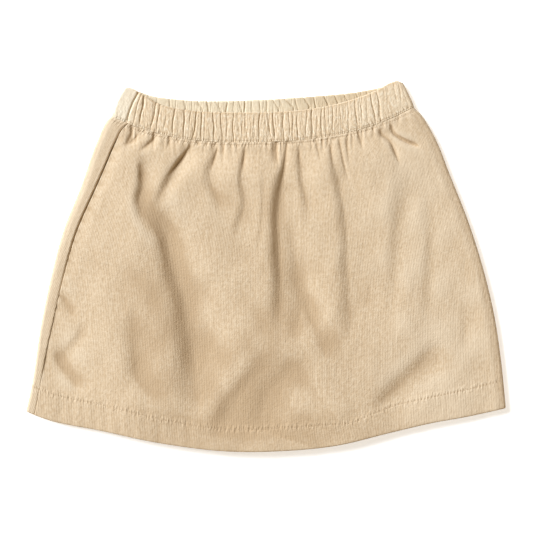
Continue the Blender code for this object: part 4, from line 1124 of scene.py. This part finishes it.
def makeBand(name, front):
    # half of the waistband: the casing's sheet folded over the elastic, from seam to seam
    fall, turn, radius = casingRows(band["insideRows"] if front else band["backInsideRows"])
    drop = fall / band["height"]
    width = layerWidth("band", drop)
    gap = garment["seamGap"] / 2
    share, lift = halfTube("band", width, band, garment["bandSeamInset"], garment["rightSeamInset"],
                           (gap, gap), front)
    drop = np.broadcast_to(drop, share.shape)
    turn = np.broadcast_to(turn, share.shape)
    x = tubePoint("band", share, drop, lift)[..., 0]
    outside = (1 + np.cos(turn)) / 2
    inside = 1 - outside
    full = band["fullness"]
    gathered = band["gathered"]
    fine = band["fineCreases"]
    fullness = ease(drop, *full["over"]) * (1 - full["lost"] * ease(drop, *full["lostOver"]))
    onTop = np.clip(lift, 0, 1)
    aside = width * share - garment["bandSeamInset"]
    ditch = band["seamDitch"]
    if front:
        tight = ease(aside, *gathered["over"]) * (1 - gathered["lost"] * ease(x, *gathered["lostOver"]))
        creases = creaseRelief(x, drop, band["creases"])
        creases += creaseRelief(x, drop, fineCreases(*fine["front"])) * tight
        swell = band["bulge"] * np.sin(math.pi * np.clip(drop, 0, 1)) + band["puff"]
        bulge = (creases + swell) * fullness * onTop
        bulge = bulge * (band["innerShare"] + (1 - band["innerShare"]) * outside)
        bulge = bulge - ditch["depth"] * bell(aside, ditch["width"]) * onTop * outside
        bulge = bulge * ease(width * (1 - share), *band["rightEdge"])
    else:
        creases = creaseRelief(x, drop, band["backCreases"])
        creases += creaseRelief(x, drop, fineCreases(*fine["back"])) * fine["backShare"]
        bulge = creases * fullness * inside * (1 - lift) / 2 * band["backCreaseScale"]
        bulge = bulge - ditch["backDepth"] * bell(aside, ditch["backWidth"]) * onTop * outside
    dip = -band["edgeDip"]["share"] * creases * (1 - ease(drop, *band["edgeDip"]["until"]))
    foot = ease(drop, *band["foot"]) * outside
    fromRow = (drop - band["stitchDrop"]) * band["height"]
    sewnRow = band["rowDitch"]["depth"] * bell(fromRow, band["rowDitch"]["width"]) * outside
    thickness = garment["bandPly"] * (1 - band["thinFoot"] * foot)
    offset = radius * np.cos(turn) + band["footLift"] * foot
    beyond = radius * np.sin(turn) + dip
    outer, inner = clothWall("band", share, drop, lift, turn, offset, beyond, bulge - sewnRow, 0.0,
                             thickness)
    along = clothLength(outer, 1)
    cut = np.stack([along / along[:, -1:] * band["cut"][0], clothLength(outer, 0)], axis=-1) / 10
    sewn = len(fall) - band["plyRows"] + np.abs(drop[-band["plyRows"]:, 0] - band["stitchDrop"]).argmin()
    beside = np.broadcast_to(along[sewn], along.shape)
    rows = np.stack([beside, (1 - drop) * band["height"] + 5.0 * inside], axis=-1) / 10
    pale = band["paleEnds"]
    edge = band["edgeShade"]
    within = band["insideShade"]
    # painted light on the band's left end and, a little, on its right half
    ends = 1 - ease(width * share, *pale["over"]) + pale["right"] * ease(share, *pale["rightOver"])
    # painted shade in the bulge's hollows, and wear with painted light on its ridges
    worn = wornRidges(bulge, 14, band["wornGain"]) + pale["gain"] * ends * onTop
    # painted shade on the front's top edge and on the back's inside towards the right
    worn -= edge["gain"] * (1 - ease(drop, *edge["until"])) * onTop * ease(outside, *edge["outside"])
    worn -= within["gain"] * ease(x, *within["over"]) * inside * (1 - onTop)
    paler = len(fall) - band["plyRows"] - 5
    piece = clothShell(name, outer, inner, [bandCloth, insideCloth, insideCloth], cut, rows, worn, paler)
    return piece, outer[sewn]


waistbandFront, bandLine = makeBand("waistbandFront", True)
waistbandBack, backBandLine = makeBand("waistbandBack", False)
for half, node, below in ((waistbandFront, "waistband_front", "waistbandBack"),
                          (waistbandBack, "waistband_back", "floor")):
    dress(half, "corduroy", node)
print("waistband ready")


shorts = {
    "columns": {"top": 60, "turn": 8, "below": 61},
    "rows": 71,
    "crotch": 0.74,
    "spread": 5.0,               # from the middle to a leg's inner edge, at its hem
    "cut": (268.0, 200.0),       # of one leg, all round
    "hemFall": 15.0,
    "hemDitch": {"depth": 0.15, "width": 1.2},
    "sideLength": 190.0,
}


def makeLeg(name, left):
    # one leg of the inner shorts: from the middle seam round the side fold and back to it
    drop = np.linspace(0, 1, shorts["rows"])[:, None]
    width = layerWidth("shorts", drop)
    middle = 0.5 + (garment["seamGap"] / 2 + shorts["spread"] * ease(drop, shorts["crotch"], 1.0)) / width
    share, lift = aroundFold(width, "shorts", middle, middle, shorts["columns"], mirrored=left)
    drop = np.broadcast_to(drop, share.shape)
    fromHem = (1 - drop) * shorts["sideLength"] - shorts["hemFall"]
    bulge = -shorts["hemDitch"]["depth"] * bell(fromHem, shorts["hemDitch"]["width"])
    zero = np.zeros_like(share)
    outer, inner = clothWall("shorts", share, drop, lift, zero, zero, zero, bulge, 0.0, garment["jersey"])
    along = clothLength(outer, 1)
    cut = np.stack([along, drop * shorts["sideLength"]], axis=-1) / 10
    rows = np.stack([along, fromHem], axis=-1) / 10
    return clothShell(name, outer, inner, [jerseyCloth, jerseyCloth], cut, rows, 0.5 + zero)


for name, node, left in (("shortsLeft", "shorts_left", True), ("shortsRight", "shorts_right", False)):
    leg = makeLeg(name, left)
    dress(leg, "jersey", node)
print("inner shorts ready")


stitching = {
    "waistUpper": {"pitch": 1.6, "length": 1.15, "radius": 0.14},
    "waistLower": {"pitch": 1.6, "length": 1.15, "radius": 0.14},
    "hem": {"pitch": 2.5, "length": 1.7, "radius": 0.11},
    "sides": 6,                  # of a stitch's section
    "rings": 5,
    "arch": 0.1,                 # how far a stitch's middle stands over its ends
    "sunk": 0.02,
    "margin": 1.0,               # of a row, without stitches at either end
}


def sewRow(name, line, given):
    # stitches along a line: each is a short round bar, thinner and lower at both ends, as
    # radius * (1 - 0.6 t^4) round a path arch * (1 - t^2) over the cloth, t from -1 to 1
    step = np.linalg.norm(np.diff(line, axis=0), axis=1)
    length = np.concatenate([[0.0], np.cumsum(step)])
    count = int((length[-1] - 2 * stitching["margin"]) / given["pitch"])
    centre = stitching["margin"] + given["pitch"] * (0.5 + np.arange(count))
    t = np.linspace(-1, 1, stitching["rings"])
    where = centre[:, None] + given["length"] / 2 * t
    path = np.stack([np.interp(where, length, line[:, axis]) for axis in range(3)], axis=-1)
    ahead = unit(np.gradient(path, axis=1))
    side = unit(np.stack([-ahead[..., 1], ahead[..., 0], np.zeros(ahead.shape[:2])], axis=-1))
    up = np.cross(ahead, side)
    path = path + up * (stitching["arch"] * (1 - t**2) - stitching["sunk"])[:, None]
    angle = 2 * math.pi * np.arange(stitching["sides"]) / stitching["sides"]
    radius = given["radius"] * (1 - 0.6 * t**4)[:, None, None]
    section = side[:, :, None, :] * np.cos(angle)[:, None] + up[:, :, None, :] * np.sin(angle)[:, None]
    points = (path[:, :, None, :] + radius * section).reshape(-1, 3)
    rings = stitching["rings"]
    sides = stitching["sides"]
    first = np.arange(rings - 1)[:, None] * sides
    here = np.arange(sides)
    after = (here + 1) % sides
    quads = np.stack([first + here, first + after, first + sides + after, first + sides + here], axis=-1)
    quads = quads.reshape(-1, 4)
    start = (np.arange(count) * rings * sides)[:, None, None]
    faces = (quads + start).reshape(-1, 4).tolist()
    ends = np.stack([here[::-1], (rings - 1) * sides + here])
    faces += (ends + start).reshape(-1, sides).tolist()
    mesh = bpy.data.meshes.new(name)
    mesh.from_pydata((points * mm).tolist(), [], faces)
    mesh.materials.append(sewingThread)
    mesh.shade_smooth()
    piece = shown(name, mesh)
    dress(piece, "corduroy")


topColumns = skirt["columns"]["top"]
leftColumns = skirt["backColumns"]["top"]
for kind, line, leftLine in (
    ("waistUpper", bandLine[:band["columns"]["top"]], backBandLine[-band["backColumns"]["top"]:]),
    ("waistLower", frontLines["waistLower"][:topColumns], backLines["waistLower"][-leftColumns:]),
    ("hem", frontLines["hem"][:topColumns], backLines["hem"][-leftColumns:]),
):
    sewRow(kind + "Stitches", line, stitching[kind])
    sewRow(kind + "StitchesLeft", leftLine, stitching[kind])
print("stitches ready")


def makeStudio():
    # a pale floor, a large soft lamp at the upper left, a weak one at the right, and a pale sky
    half = studio["floorSize"] / 2 * mm
    mesh = bpy.data.meshes.new("floor")
    mesh.from_pydata([(-half, -half, 0), (half, -half, 0), (half, half, 0), (-half, half, 0)], [],
                     [(0, 1, 2, 3)])
    mesh.materials.append(newMaterial("paleFloor", {
        "Base Color": (*studio["floorColour"], 1), "Roughness": 0.9, "Specular IOR Level": 0.0,
        "Emission Color": (1, 1, 1, 1), "Emission Strength": studio["floorGlow"],
    })[0])
    floor = shown("floor", mesh)
    for label in ("key", "fill"):
        lamp = bpy.data.lights.new(label, "AREA")
        lamp.size = studio[label + "Size"] * mm
        lamp.energy = studio[label + "Power"]
        lamp.color = studio[label + "Colour"]
        light = shown(label, lamp)
        light.location = [value * mm for value in studio[label + "Place"]]
        light.rotation_mode = "QUATERNION"
        light.rotation_quaternion = light.location.to_track_quat("Z", "Y")
    sky = bpy.data.worlds.new("sky")
    sky.use_nodes = True
    background = sky.node_tree.nodes["Background"].inputs
    background["Color"].default_value = (*studio["skyColour"], 1)
    background["Strength"].default_value = studio["skyStrength"]
    bpy.context.scene.world = sky
    bpy.context.scene.view_settings.view_transform = "Standard"


def makeCamera():
    # straight above, so far and so long a lens that one pixel covers the named size of the table
    camera = bpy.data.cameras.new("camera")
    camera.sensor_width = 36.0
    camera.lens = camera.sensor_width * studio["cameraHeight"] / (studio["pixelSize"] * studio["pixels"])
    seen = shown("camera", camera)
    seen.location = (studio["aim"][0] * mm, studio["aim"][1] * mm, studio["cameraHeight"] * mm)
    bpy.context.scene.camera = seen


makeStudio()
makeCamera()
print("studio ready")
